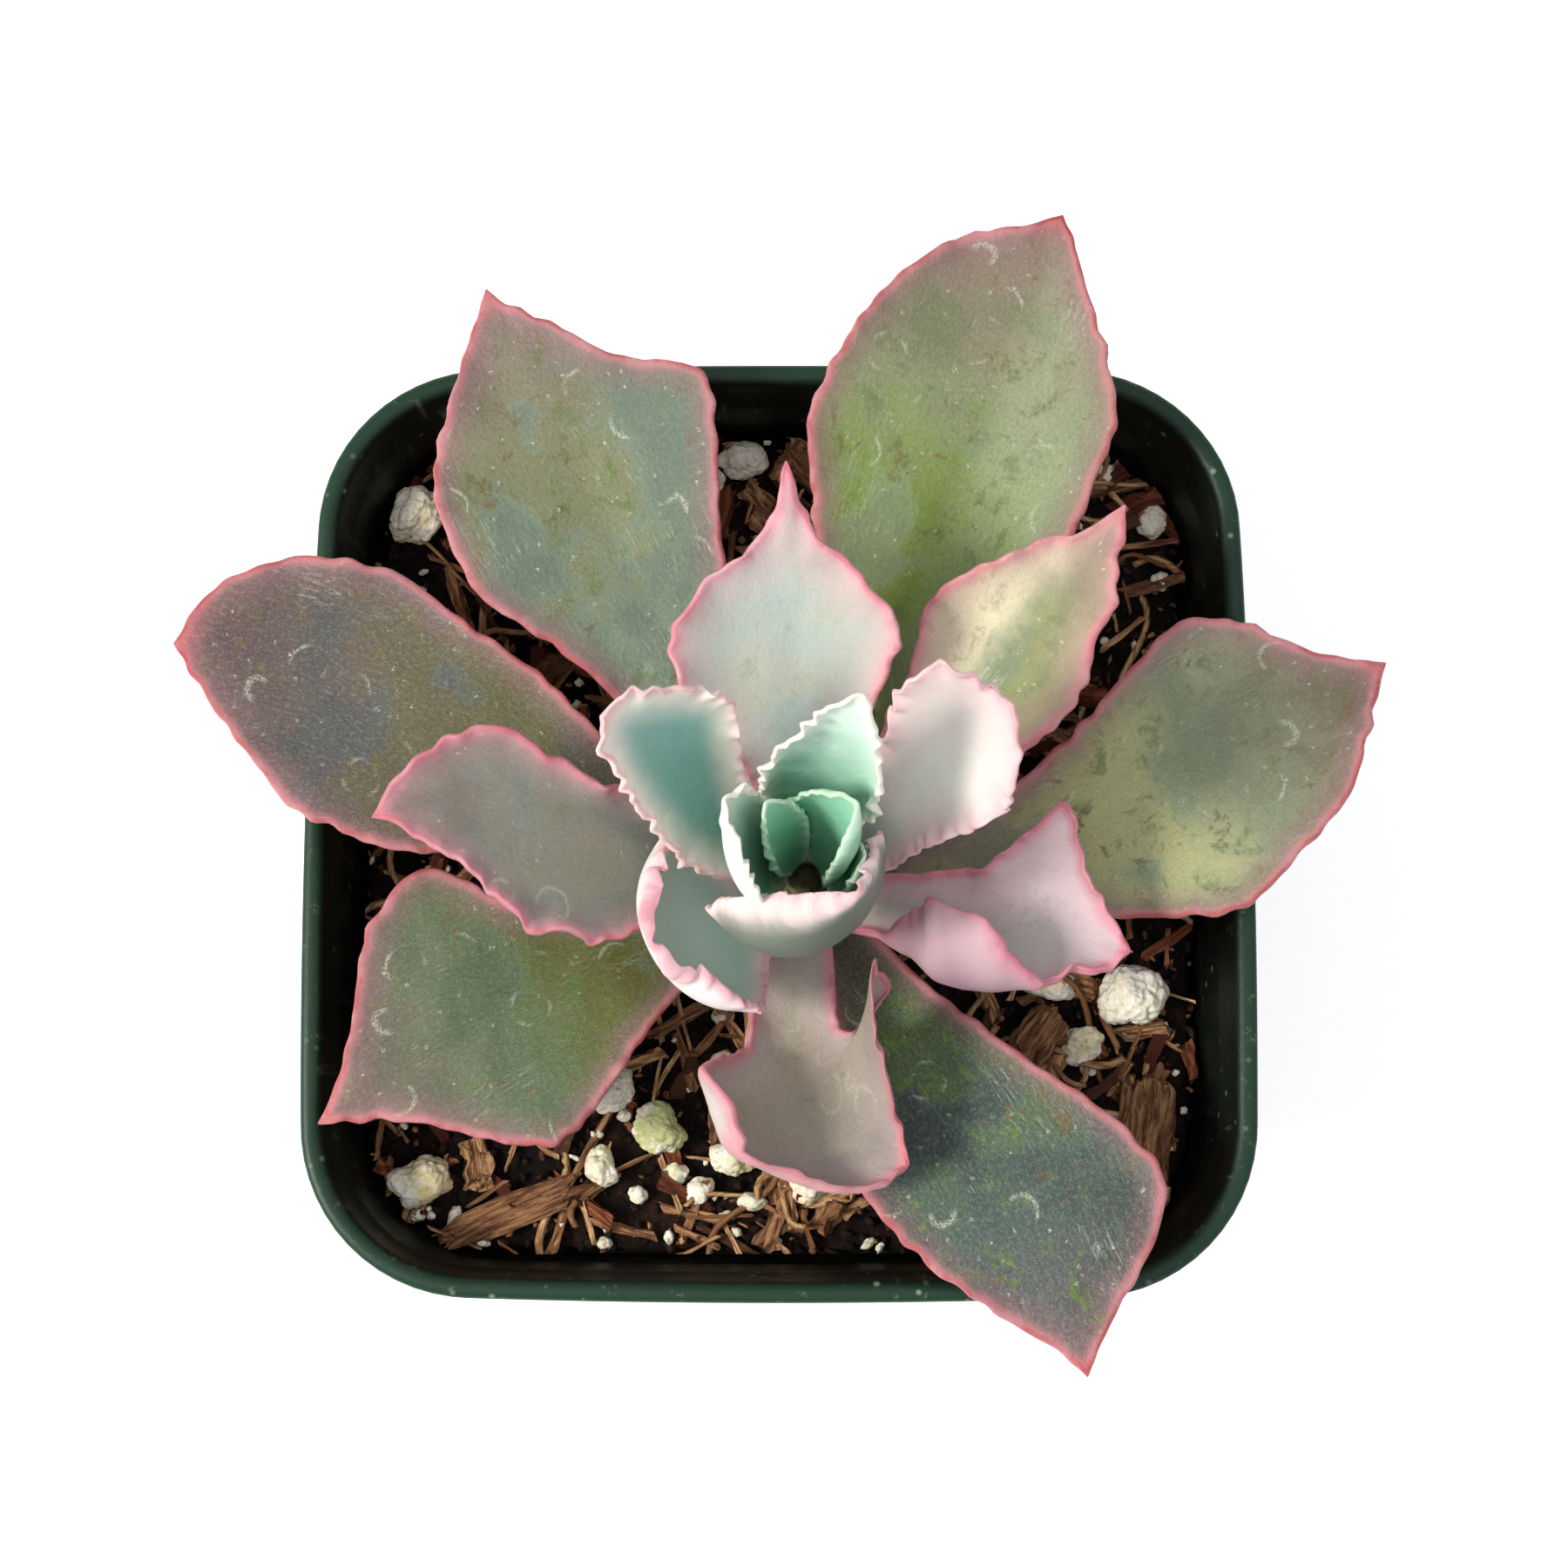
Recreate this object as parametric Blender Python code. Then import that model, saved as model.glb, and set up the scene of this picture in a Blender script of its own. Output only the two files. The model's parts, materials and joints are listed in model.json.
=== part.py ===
"""Ruffled rosette succulent in a square nursery pot, as one named object per physical piece.

Lengths are metres, +Z is up, and the origin is the centre of the flat underside of the pot.
The near side of the plant is -Y.
"""

import math

import bmesh
import bpy
import numpy as np
from mathutils import Matrix, Vector, noise
from mathutils.bvhtree import BVHTree

MM = 0.001

# Pot
RIM_WIDTH = 0.0902  # outside, across the flats of the rim
POT_HEIGHT = 0.083
BASE_WIDTH = 0.063
RIM_CORNER = 0.0163  # outside corner radius at the rim
BASE_CORNER = 0.012
WALL = 0.0011
LIP = 0.0009  # how far the collar stands out from the body
COLLAR_HEIGHT = 0.0095
FLOOR = 0.0014
FOOT_EDGE = 0.001  # chamfer round the underside
DRAIN_DIAMETER = 0.009
DRAIN_OFFSET = 0.0195  # from each centre line
CORNER_STEPS = 5

# Soil and what lies on it
SOIL_DROP = 0.012  # below the rim
SOIL_RELIEF = 0.0011
SOIL_WAVES = 60.0  # noise cycles a metre in the soil's slow relief
SOIL_RIPPLES = 170.0
SOIL_RINGS = (0.95, 0.8, 0.64, 0.48, 0.3)  # shares of the hollow's half width
CLEARANCE = 0.0003  # between pieces that touch
LUMPS_HALF_WIDTH = 0.0412  # of the hollow at the soil, for which the lumps are placed
LUMP_NOISE = 2.6
PERLITE_ROUGHNESS = 0.3
BARK_ROUGHNESS = 0.45
LUMP_FLAT_SHARE = 0.34  # of a lump's height that its flat underside lies below its middle

# Plant
PLANT_X = 0.0025
PLANT_Y = -0.007
STEM_RADIUS = 0.0043
STEM_ABOVE_RIM = 0.0105
STEM_IN_SOIL = 0.014
OUTER_THICKNESS = 0.0024
MIDDLE_THICKNESS = 0.0018
INNER_THICKNESS = 0.0013
CENTRE_THICKNESS = 0.0010
UPPER_SHARE = 0.38  # of a leaf's thickness that is above its middle surface

ALONG = (0.0, 0.12, 0.25, 0.38, 0.5, 0.61, 0.71, 0.8, 0.88, 0.95, 0.987)
ACROSS = (-1.0, -0.72, -0.38, 0.0, 0.38, 0.72, 1.0)
WIDTH_STATIONS = (0.0, 0.15, 0.3, 0.45, 0.6, 0.72, 0.82, 0.91, 0.97, 1.0)
MIDRIB_STEPS = 60
SECTION_STEPS = 24
CURL_POWER = 1.3
NO_SWEEP = (0,)

# Stem radius as a share of STEM_RADIUS, at heights in millimetres above the rim
STEM_TAPER = (
    (-40, 0.6), (-26, 0.75), (-14, 1.0), (-6, 0.97), (0, 0.86), (4, 0.6), (8, 0.42), (10.5, 0.2),
)

# One row a leaf: heading in degrees from +X, foot in millimetres above the rim, length in
# millimetres, then values along the leaf from foot to tip: pitch and turn in degrees, the left and
# right half widths in millimetres at WIDTH_STATIONS (the tip's zero left out), the turn of the left
# and right halves from the midrib to the margin in degrees, and where the blade's lobes point back,
# how far each half is swept towards the foot in degrees. Left is anticlockwise seen from above.
OUTER_LEAVES = {
    "outer_leaf_back_left": (
        118, -7.5, 62, (26, 16, 8, 4), (0,),
        (3.2, 4.4, 6.5, 10.3, 14.8, 14.4, 10.7, 5.5, 1.8), (3.2, 4.2, 6, 8, 12.2, 14.7, 7.6, 3.8, 0.8),
        (35, 25, 15), (35, 25, 15),
    ),
    "outer_leaf_back_right": (
        69, -3.5, 65, (22, 13, 8, 4), (0,),
        (3.2, 4.4, 7, 12, 15.9, 15.2, 12.8, 8.6, 2.5), (3.2, 4.4, 6.5, 9.3, 12.2, 12.2, 8.8, 4.6, 1.8),
        (35, 30, 20), (35, 30, 20),
    ),
    "outer_leaf_left": (
        152, -4.5, 60, (22, 14, 7, 2), (0, 4, 10, 18),
        (3.2, 4.2, 6.5, 11, 13.6, 13.2, 9.8, 5.5, 2), (3.2, 3.6, 4.3, 7.3, 9.6, 11.6, 11, 8.3, 4.8),
        (30, 20, 12), (30, 20, 12),
    ),
    "outer_leaf_right": (
        10, -7, 55.5, (26, 17, 8, 6), (0, 8, 15, 26),
        (3.2, 3.8, 5, 7.8, 11.5, 13.5, 11, 4.7, 1.5), (3.2, 4.4, 7, 10.5, 13.6, 11.2, 8.8, 4.5, 1.2),
        (30, 20, 15), (30, 20, 15),
    ),
    "outer_leaf_front_left": (
        -166, -8, 47, (24, 16, 8, 2), (0, 8, 16, 30),
        (3.2, 4.4, 7.8, 12, 14.7, 11.6, 7, 3.2, 1.2), (3.2, 3.8, 4.5, 7.2, 14.5, 11.9, 6, 2.1, 0.5),
        (30, 20, 12), (30, 20, 12),
    ),
    "outer_leaf_front_right": (
        -52, -6, 48, (24, 16, 10, 4), (0, -5, -12, -22),
        (3.2, 3.8, 5.6, 8.2, 11.6, 13.2, 9.8, 4, 1.2), (3.2, 5.2, 9, 12.1, 11.3, 9.3, 6.3, 2.8, 0.8),
        (30, 20, 12), (30, 20, 12),
    ),
}
MIDDLE_LEAVES = {
    "middle_leaf_back": (
        93, 2, 38, (50, 38, 26, 16), (0,),
        (2.8, 4, 6.5, 10.6, 11.7, 8.8, 3.2, 0.9, 0.5), (2.8, 3.6, 4.5, 7.9, 10, 6.9, 3.2, 0.9, 0.5),
        (40, 40, 30), (40, 40, 30),
    ),
    "middle_leaf_back_right": (
        49, 0, 43, (36, 26, 18, 14), (0,),
        (2.8, 3.2, 4, 5.8, 8.4, 6.6, 4.1, 1.3, 0.4), (2.8, 4, 6, 7.7, 9, 6.7, 5.5, 2.9, 1),
        (40, 40, 30), (40, 40, 30),
    ),
    "middle_leaf_left": (
        160, -1.5, 40, (42, 30, 21, 10), (0, 4, 16, 50),
        (2.8, 5.6, 9.6, 12.6, 12.8, 10.2, 7, 4, 1), (2.8, 3.2, 3.3, 3.2, 4.3, 6.3, 5.2, 3, 0.8),
        (40, 40, 30), (40, 50, 50),
    ),
    "middle_leaf_right": (
        -12, -1, 28, (36, 26, 18, 10), (0, 0, -1, -4),
        (2.8, 3.4, 4, 5, 8.8, 12.5, 6.2, 2.8, 1.2), (2.8, 3.8, 9, 17, 16, 10, 5, 3, 1.3),
        (40, 50, 50, 50), (40, 110, 225, 200, 90, 60),
    ),
    "middle_leaf_front": (
        -96, -1, 28, (24, 16, 14, 18), (0, 5, 46, 92),
        (3, 3.6, 4.2, 6, 15, 17, 14.5, 9, 3.6), (3, 4, 4.6, 6, 16, 15.5, 10, 5, 2),
        (20, 45, 60, 60), (20, 60, 130, 90),
        (0, 10, 26, 0), (0, 6, 34, 6),
    ),
}
INNER_LEAVES = {
    "inner_leaf_left": (
        151, 4, 31.8, (52, 58, 60, 52), (0, -4, -6, 0),
        (2.4, 3.4, 5, 5.6, 5, 4.6, 4, 3, 1.6), (2.4, 3.2, 4.2, 5.5, 7.6, 8.8, 7.4, 5.2, 3),
        (45,), (45,),
    ),
    "inner_leaf_right": (
        29, 3.5, 34, (60, 64, 60, 50), (0, 6, 7, 4),
        (2.4, 3.2, 4.4, 5, 5.8, 7, 8, 7.5, 5), (2.4, 3, 3.6, 4.2, 5.4, 6.4, 6.2, 4.2, 1.6),
        (40, 50, 50), (40, 30, 0),
    ),
    "inner_leaf_front_left": (
        -154, 2.5, 21, (14, 28, 72, 100), (0,),
        (2.6, 5, 9, 11, 11, 11, 10, 8, 5.5), (2.6, 5, 9, 10.5, 11, 11, 10, 9, 6),
        (40, 72, 80), (40, 70, 80),
    ),
    "inner_leaf_front": (
        -42, 6, 23, (58, 80, 92, 95), (0,),
        (2.4, 3.6, 5.5, 6.5, 7, 6.5, 5, 3, 1), (2.4, 5.2, 9.5, 13, 15, 15, 13.5, 10, 5),
        (60, 70, 70), (100, 115, 115),
    ),
}
CENTRE_LEAVES = {
    "centre_leaf_back": (
        68, 7.5, 33.5, (80, 76, 74, 66), (0,),
        (1.7, 3.2, 4.8, 6.4, 7.4, 6.8, 5.2, 3.4, 1.5), (1.7, 2.2, 2.9, 4.1, 5.2, 5, 4, 2.5, 1),
        (60, 74, 70), (60, 80, 70),
    ),
    "centre_leaf_left": (
        154, 8.5, 25, (78, 76, 78, 80), (0,),
        (1.7, 3.6, 6.4, 8.2, 8.5, 8, 6.8, 4.8, 2.3), (1.7, 2.1, 2.3, 2.6, 2.9, 3, 2.8, 2.2, 1.2),
        (80, 98, 98), (60, 80),
    ),
    "heart_leaf_back": (
        37, 10.5, 23, (80, 82, 82, 80), (0,),
        (1.2, 2.6, 4.1, 5.1, 5.5, 5.5, 5.1, 4.2, 2.3), (1.2, 2.6, 4, 4.8, 5, 5, 4.6, 3.6, 1.8),
        (60, 80, 80), (80, 130, 130),
    ),
    "heart_leaf_left": (
        137, 11, 21, (84, 82, 80, 78), (0,),
        (1.1, 2, 2.6, 2.8, 2.8, 2.6, 2.2, 1.4, 0.6), (1.1, 1.8, 2.2, 2.5, 2.7, 2.6, 2.3, 1.6, 0.8),
        (60,), (60,),
    ),
    "heart_leaf_right": (
        -5, 8.5, 18.5, (76, 81, 85, 85), (0,),
        (1.2, 1.8, 2.2, 2.4, 2.4, 2.2, 1.8, 1.2, 0.6), (1.2, 1.8, 2.2, 2.4, 2.4, 2.2, 1.8, 1.2, 0.6),
        (40,), (40,),
    ),
}

# Loose pieces on the soil, in millimetres: x, y, length, width, height, heading in degrees
PERLITE = {
    "perlite_right_large": (34.3, -15.6, 6.8, 6.2, 5.4, 20),
    "perlite_right_long": (26.4, -14.2, 5.4, 3.6, 3.4, -12),
    "perlite_right_low": (29.6, -20.4, 4.2, 3.6, 3.0, 40),
    "perlite_back_left": (-36.2, 32.6, 6.4, 5.2, 4.6, 60),
    "perlite_back": (-3.6, 38.4, 5.0, 3.8, 3.4, 10),
    "perlite_front_left": (-16.2, -24.8, 4.6, 4.0, 3.6, 30),
    "perlite_front_middle": (-11.7, -28.6, 5.4, 4.4, 3.8, -40),
    "perlite_front_corner": (-34.4, -33.6, 6.0, 4.6, 4.0, 15),
    "perlite_front_right": (2.8, -33.2, 4.8, 4.2, 3.6, 75),
    "perlite_front_small": (-4.4, -31.2, 4.4, 3.8, 3.4, 0),
}
BARK = {
    "bark_right": (35.2, -29.0, 11.0, 4.6, 3.0, 84),
    "bark_right_low": (25.0, -19.6, 5.4, 3.8, 3.4, 55),
    "bark_front_left": (-25.6, -36.4, 13.0, 3.6, 2.6, 24),
    "bark_left": (-37.4, -22.4, 8.0, 4.4, 3.0, 70),
    "bark_back": (5.0, 36.0, 9.0, 4.0, 2.8, -50),
    "bark_back_left": (-22.0, 36.8, 9.6, 3.6, 2.6, 12),
}

PALETTE = {  # base colour, roughness
    "pot": ((0.012, 0.045, 0.024), 0.42),
    "soil": ((0.022, 0.014, 0.009), 0.95),
    "stem": ((0.16, 0.14, 0.07), 0.8),
    "outer": ((0.23, 0.28, 0.19), 0.6),
    "middle": ((0.42, 0.42, 0.36), 0.55),
    "inner": ((0.55, 0.62, 0.55), 0.5),
    "centre": ((0.24, 0.48, 0.36), 0.5),
    "perlite": ((0.78, 0.74, 0.6), 0.9),
    "bark": ((0.13, 0.05, 0.022), 0.85),
}


def clear_scene():
    """Remove whatever the scene held before."""
    for obj in list(bpy.data.objects):
        bpy.data.objects.remove(obj, do_unlink=True)


def new_collection(name):
    """Return a new collection linked to the scene."""
    collection = bpy.data.collections.new(name)
    bpy.context.scene.collection.children.link(collection)
    return collection


def new_object(name, bm, collection, finish=None, smooth=True):
    """Turn a bmesh into an object with its own material and hand it back."""
    bmesh.ops.recalc_face_normals(bm, faces=bm.faces[:])
    mesh = bpy.data.meshes.new(name)
    bm.to_mesh(mesh)
    bm.free()
    if smooth:
        mesh.shade_smooth()
    else:
        mesh.shade_flat()
    obj = bpy.data.objects.new(name, mesh)
    collection.objects.link(obj)
    if finish is None:
        obj.hide_render = True
        obj.display_type = "WIRE"
        return obj
    colour, roughness = PALETTE[finish]
    material = bpy.data.materials.new(f"{name}_finish")
    material.use_nodes = True
    shader = material.node_tree.nodes["Principled BSDF"]
    shader.inputs["Base Color"].default_value = (*colour, 1.0)
    shader.inputs["Roughness"].default_value = roughness
    mesh.materials.append(material)
    return obj


def cut(obj, cutter):
    """Take the cutter away from the object with an exact Boolean."""
    modifier = obj.modifiers.new(f"cut_{cutter.name}", "BOOLEAN")
    modifier.operation = "DIFFERENCE"
    modifier.solver = "EXACT"
    modifier.object = cutter


def loft(bm, rings):
    """Join rings of points with quads, fill the first and last, and return the rings of vertices."""
    made = [[bm.verts.new(point) for point in ring] for ring in rings]
    for lower, upper in zip(made, made[1:]):
        count = len(lower)
        for i in range(count):
            j = (i + 1) % count
            bm.faces.new((lower[i], lower[j], upper[j], upper[i]))
    bm.faces.new(made[0][::-1])
    bm.faces.new(made[-1])
    return made


def rounded_square(half, corner, z):
    """Points anticlockwise round a square with rounded corners, centred on the origin."""
    points = []
    for quarter, (sx, sy) in enumerate(((1, 1), (-1, 1), (-1, -1), (1, -1))):
        for step in range(CORNER_STEPS + 1):
            angle = math.radians(90 * (quarter + step / CORNER_STEPS))
            points.append(
                Vector((
                    sx * (half - corner) + corner * math.cos(angle),
                    sy * (half - corner) + corner * math.sin(angle),
                    z,
                ))
            )
    return points


def body_size(z):
    """Outside half width and corner radius of the pot's tapered body at height z."""
    share = z / POT_HEIGHT
    rim_half = RIM_WIDTH / 2 - LIP
    half = BASE_WIDTH / 2 + (rim_half - BASE_WIDTH / 2) * share
    return half, BASE_CORNER + (RIM_CORNER - LIP - BASE_CORNER) * share


def inside_size(z, inset=0.0):
    """Half width and corner radius of the hollow at height z, less an inset."""
    half, corner = body_size(z)
    return half - WALL - inset, corner - WALL - inset


def make_pot(collection, cutters):
    """The thin-walled pot: tapered body, stepped collar, flat floor and four drain holes."""
    collar = POT_HEIGHT - COLLAR_HEIGHT
    half, corner = body_size(0)
    rings = [rounded_square(half - FOOT_EDGE, corner - FOOT_EDGE, 0)]
    for z, out in ((FOOT_EDGE, 0), (collar, 0), (collar + LIP / 2, LIP), (POT_HEIGHT - LIP / 2, LIP)):
        half, corner = body_size(z)
        rings.append(rounded_square(half + out, corner + out, z))
    half, corner = body_size(POT_HEIGHT)
    rings.append(rounded_square(half + LIP / 2, corner + LIP / 2, POT_HEIGHT))
    rings.append(rounded_square(*inside_size(POT_HEIGHT, -LIP / 3), POT_HEIGHT))
    for z in (POT_HEIGHT - LIP, collar, FLOOR + FOOT_EDGE):
        rings.append(rounded_square(*inside_size(z), z))
    rings.append(rounded_square(*inside_size(FLOOR, FOOT_EDGE), FLOOR))
    bm = bmesh.new()
    loft(bm, rings)
    pot = new_object("pot", bm, collection, "pot")
    for sx in (-1, 1):
        for sy in (-1, 1):
            bm = bmesh.new()
            bmesh.ops.create_cone(
                bm, cap_ends=True, segments=20, radius1=DRAIN_DIAMETER / 2, radius2=DRAIN_DIAMETER / 2,
                depth=6 * FLOOR, matrix=Matrix.Translation((sx * DRAIN_OFFSET, sy * DRAIN_OFFSET, 0)),
            )
            cut(pot, new_object(f"drain_cutter_{sx + 1}{sy + 1}", bm, cutters))


def soil_height(x, y):
    """Height of the soil's uneven top at a point."""
    coarse = noise.noise(Vector((x * SOIL_WAVES, y * SOIL_WAVES, 3.7)))
    fine = noise.noise(Vector((x * SOIL_RIPPLES, y * SOIL_RIPPLES, 8.1)))
    return POT_HEIGHT - SOIL_DROP + SOIL_RELIEF * (coarse + 0.35 * fine)


def make_soil(collection, cutters):
    """The block of potting mix, with a socket for the root crown. Returns its surface for resting on."""
    edge = POT_HEIGHT - SOIL_DROP - 1.6 * SOIL_RELIEF
    low = FLOOR + CLEARANCE
    rings = [
        rounded_square(*inside_size(low, FOOT_EDGE + CLEARANCE), low),
        rounded_square(*inside_size(low + FOOT_EDGE, CLEARANCE), low + FOOT_EDGE),
        rounded_square(*inside_size(edge, CLEARANCE), edge),
    ]
    half, corner = inside_size(edge, CLEARANCE)
    for share in SOIL_RINGS:
        ring = rounded_square(half * share, corner * share, 0)
        rings.append([Vector((p.x, p.y, soil_height(p.x, p.y))) for p in ring])
    bm = bmesh.new()
    loft(bm, rings)
    middle = max(bm.faces, key=lambda f: (len(f.verts), f.calc_center_median().z))
    bmesh.ops.triangulate(bm, faces=[middle])
    ground = BVHTree.FromBMesh(bm)
    soil = new_object("soil", bm, collection, "soil")
    top = [(POT_HEIGHT, STEM_RADIUS + CLEARANCE)]
    profile = [(z, r + CLEARANCE) for z, r in stem_profile() if z < POT_HEIGHT - SOIL_DROP]
    profile[0] = (profile[0][0] - CLEARANCE, profile[0][1])
    cut(soil, new_object("root_socket_cutter", turned(profile + top), cutters))
    return ground


def stem_radius(z):
    """Radius of the stem at height z."""
    heights = [POT_HEIGHT + h * MM for h, _ in STEM_TAPER]
    return STEM_RADIUS * float(np.interp(z, heights, [share for _, share in STEM_TAPER]))


def stem_profile():
    """(height, radius) of the stem from the buried root crown to its top."""
    bottom = POT_HEIGHT - SOIL_DROP - STEM_IN_SOIL
    top = POT_HEIGHT + STEM_ABOVE_RIM
    return [(z, stem_radius(z)) for z in np.linspace(bottom, top, 9)]


def turned(profile):
    """A solid of revolution about the plant's axis from (height, radius) pairs."""
    bm = bmesh.new()
    count = 14
    loft(bm, [
        [
            Vector((
                PLANT_X + radius * math.cos(2 * math.pi * i / count),
                PLANT_Y + radius * math.sin(2 * math.pi * i / count),
                z,
            ))
            for i in range(count)
        ]
        for z, radius in profile
    ])
    return bm


def spline(stations, values, at):
    """Monotone cubic through the values, read at one place."""
    x, y = np.asarray(stations, float), np.asarray(values, float)
    step = np.diff(x)
    slope = np.diff(y) / step
    tangent = np.concatenate(([slope[0]], np.zeros(len(x) - 2), [slope[-1]]))
    for i in range(1, len(x) - 1):
        if slope[i - 1] * slope[i] > 0:
            a, b = 2 * step[i] + step[i - 1], step[i] + 2 * step[i - 1]
            tangent[i] = (a + b) / (a / slope[i - 1] + b / slope[i])
    k = int(np.clip(np.searchsorted(x, at, side="right") - 1, 0, len(x) - 2))
    t = (at - x[k]) / step[k]
    return float(
        (2 * t**3 - 3 * t**2 + 1) * y[k]
        + (t**3 - 2 * t**2 + t) * step[k] * tangent[k]
        + (3 * t**2 - 2 * t**3) * y[k + 1]
        + (t**3 - t**2) * step[k] * tangent[k + 1]
    )


def along(values, at):
    """Values spaced evenly from foot to tip, read at one place."""
    if len(values) == 1:
        return float(values[0])
    return spline(np.linspace(0, 1, len(values)), values, at)


def heading_vector(heading, pitch):
    """Unit vector at a heading from +X and a pitch above the level, both in radians."""
    level = math.cos(pitch)
    return Vector((math.cos(heading) * level, math.sin(heading) * level, math.sin(pitch)))


def leaf_frame(row, thickness, at):
    """Midrib point and the forward, sideways and upward unit vectors at a share of a leaf's length."""
    heading, foot, length, pitch, turn = row[:5]
    first = math.radians(along(pitch, 0))
    z = POT_HEIGHT + foot * MM
    radius = stem_radius(z) + CLEARANCE + thickness * UPPER_SHARE * math.sin(first)
    side = math.radians(heading)
    point = Vector((PLANT_X + radius * math.cos(side), PLANT_Y + radius * math.sin(side), z))
    step = length * MM * at / MIDRIB_STEPS
    for i in range(MIDRIB_STEPS):
        u = (i + 0.5) / MIDRIB_STEPS * at
        p, h = math.radians(along(pitch, u)), math.radians(heading + along(turn, u))
        point += heading_vector(h, p) * step
    p, h = math.radians(along(pitch, at)), math.radians(heading + along(turn, at))
    sideways = Vector((-math.sin(h), math.cos(h), 0))
    upward = Vector((-math.sin(p) * math.cos(h), -math.sin(p) * math.sin(h), math.cos(p)))
    return point, heading_vector(h, p), sideways, upward


def section_point(width, curl, share):
    """Offset from the midrib and slope of one half of a leaf's section at a share of its width."""
    x = z = 0.0
    step = width * share / SECTION_STEPS
    for i in range(SECTION_STEPS):
        slope = math.radians(curl) * ((i + 0.5) / SECTION_STEPS * share) ** CURL_POWER
        x += math.cos(slope) * step
        z += math.sin(slope) * step
    return x, z, math.radians(curl) * share**CURL_POWER


def leaf_ring(row, thickness, at):
    """Points round a leaf's section: over the top from right to left, then back underneath."""
    point, forward, sideways, upward = leaf_frame(row, thickness, at)
    left, right, curl_left, curl_right = row[5:9]
    sweep_left, sweep_right = row[9:] or (NO_SWEEP, NO_SWEEP)
    left_half = (1, left, curl_left, sweep_left)
    right_half = (-1, right, curl_right, sweep_right)
    depth = thickness * spline((0, 0.3, 0.8, 1), (0.85, 1, 0.75, 0.25), at)
    top, under = [], []
    for v in ACROSS:
        sign, widths, curls, sweeps = left_half if v >= 0 else right_half
        width = spline(WIDTH_STATIONS, (*widths, 0), at) * MM
        sweep = math.radians(along(sweeps, at))
        aside = sideways * (sign * math.cos(sweep)) - forward * math.sin(sweep)
        x, z, slope = section_point(width, along(curls, at), abs(v))
        centre = point + aside * x + upward * z
        normal = upward * math.cos(slope) - aside * math.sin(slope)
        full = min(depth, 0.9 * width) * (1 - abs(v) ** 2.4)
        top.append(centre + normal * (full * UPPER_SHARE))
        if abs(v) < 1:
            under.append(centre - normal * (full * (1 - UPPER_SHARE)))
    return top + under[::-1]


def make_leaf(name, row, thickness, collection, finish):
    """One closed leaf, lofted from foot to tip."""
    bm = bmesh.new()
    rings = loft(bm, [leaf_ring(row, thickness, at) for at in ALONG])
    last = rings[-1]
    caps = [face for face in bm.faces if set(face.verts) == set(last)]
    bmesh.ops.delete(bm, geom=caps, context="FACES_ONLY")
    tip = bm.verts.new(leaf_frame(row, thickness, 1.0)[0])
    for vert, following in zip(last, last[1:] + last[:1]):
        bm.faces.new((vert, following, tip))
    new_object(name, bm, collection, finish)


def resting_height(ground, x, y, reach):
    """Highest point of the soil's faces within reach of a place."""
    highest = 0.0
    for share in (0, 0.25, 0.5, 0.75, 1):
        for angle in np.linspace(0, 2 * math.pi, 16, endpoint=False):
            out = reach * share
            start = Vector((x + out * math.cos(angle), y + out * math.sin(angle), POT_HEIGHT))
            hit = ground.ray_cast(start, Vector((0, 0, -1)))[0]
            if hit is not None:
                highest = max(highest, hit.z)
    return highest


def make_lump(name, row, ground, collection, finish, roughness):
    """A crumb of perlite or bark with an uneven skin and a flat underside, lying on the soil."""
    x, y, length, width, height, heading = row
    spread = inside_size(POT_HEIGHT - SOIL_DROP)[0] / LUMPS_HALF_WIDTH
    x, y = x * MM * spread, y * MM * spread
    bm = bmesh.new()
    if finish == "perlite":
        bmesh.ops.create_icosphere(bm, subdivisions=2, radius=0.5)
    else:
        bmesh.ops.create_cube(bm, size=1.0)
        bmesh.ops.bevel(bm, geom=bm.edges[:], offset=0.16, segments=1, affect="EDGES")
    size = Matrix.Diagonal((length * MM, width * MM, height * MM, 1))
    place = Matrix.Rotation(math.radians(heading), 4, "Z") @ size
    for vert in bm.verts:
        lump = 1 + roughness * noise.noise(vert.co * LUMP_NOISE + Vector((x, y, 0)) / MM)
        vert.co = place @ (vert.co * lump)
    floor = -LUMP_FLAT_SHARE * height * MM
    for vert in bm.verts:
        vert.co.z = max(vert.co.z, floor)
    lift = resting_height(ground, x, y, 0.55 * length * MM) + CLEARANCE - floor
    bmesh.ops.dissolve_limit(bm, angle_limit=0.002, verts=bm.verts[:], edges=bm.edges[:])
    bmesh.ops.translate(bm, verts=bm.verts[:], vec=(x, y, lift))
    new_object(name, bm, collection, finish, smooth=finish == "perlite")


def main():
    clear_scene()
    parts = new_collection("potted_succulent")
    cutters = new_collection("cutters")
    make_pot(parts, cutters)
    ground = make_soil(parts, cutters)
    new_object("stem", turned(stem_profile()), parts, "stem")
    for rows, thickness, finish in (
        (OUTER_LEAVES, OUTER_THICKNESS, "outer"),
        (MIDDLE_LEAVES, MIDDLE_THICKNESS, "middle"),
        (INNER_LEAVES, INNER_THICKNESS, "inner"),
        (CENTRE_LEAVES, CENTRE_THICKNESS, "centre"),
    ):
        for name, row in rows.items():
            make_leaf(name, row, thickness, parts, finish)
    for name, row in PERLITE.items():
        make_lump(name, row, ground, parts, "perlite", PERLITE_ROUGHNESS)
    for name, row in BARK.items():
        make_lump(name, row, ground, parts, "bark", BARK_ROUGHNESS)


main()
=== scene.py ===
"""The finished look of a ruffled rosette succulent in a square nursery pot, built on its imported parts.

Lengths are metres unless a name ends in mm. The near side of the plant is -Y and +Z is up.
"""

import json
import logging
import math
from dataclasses import dataclass, field, replace
from enum import Enum

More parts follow.
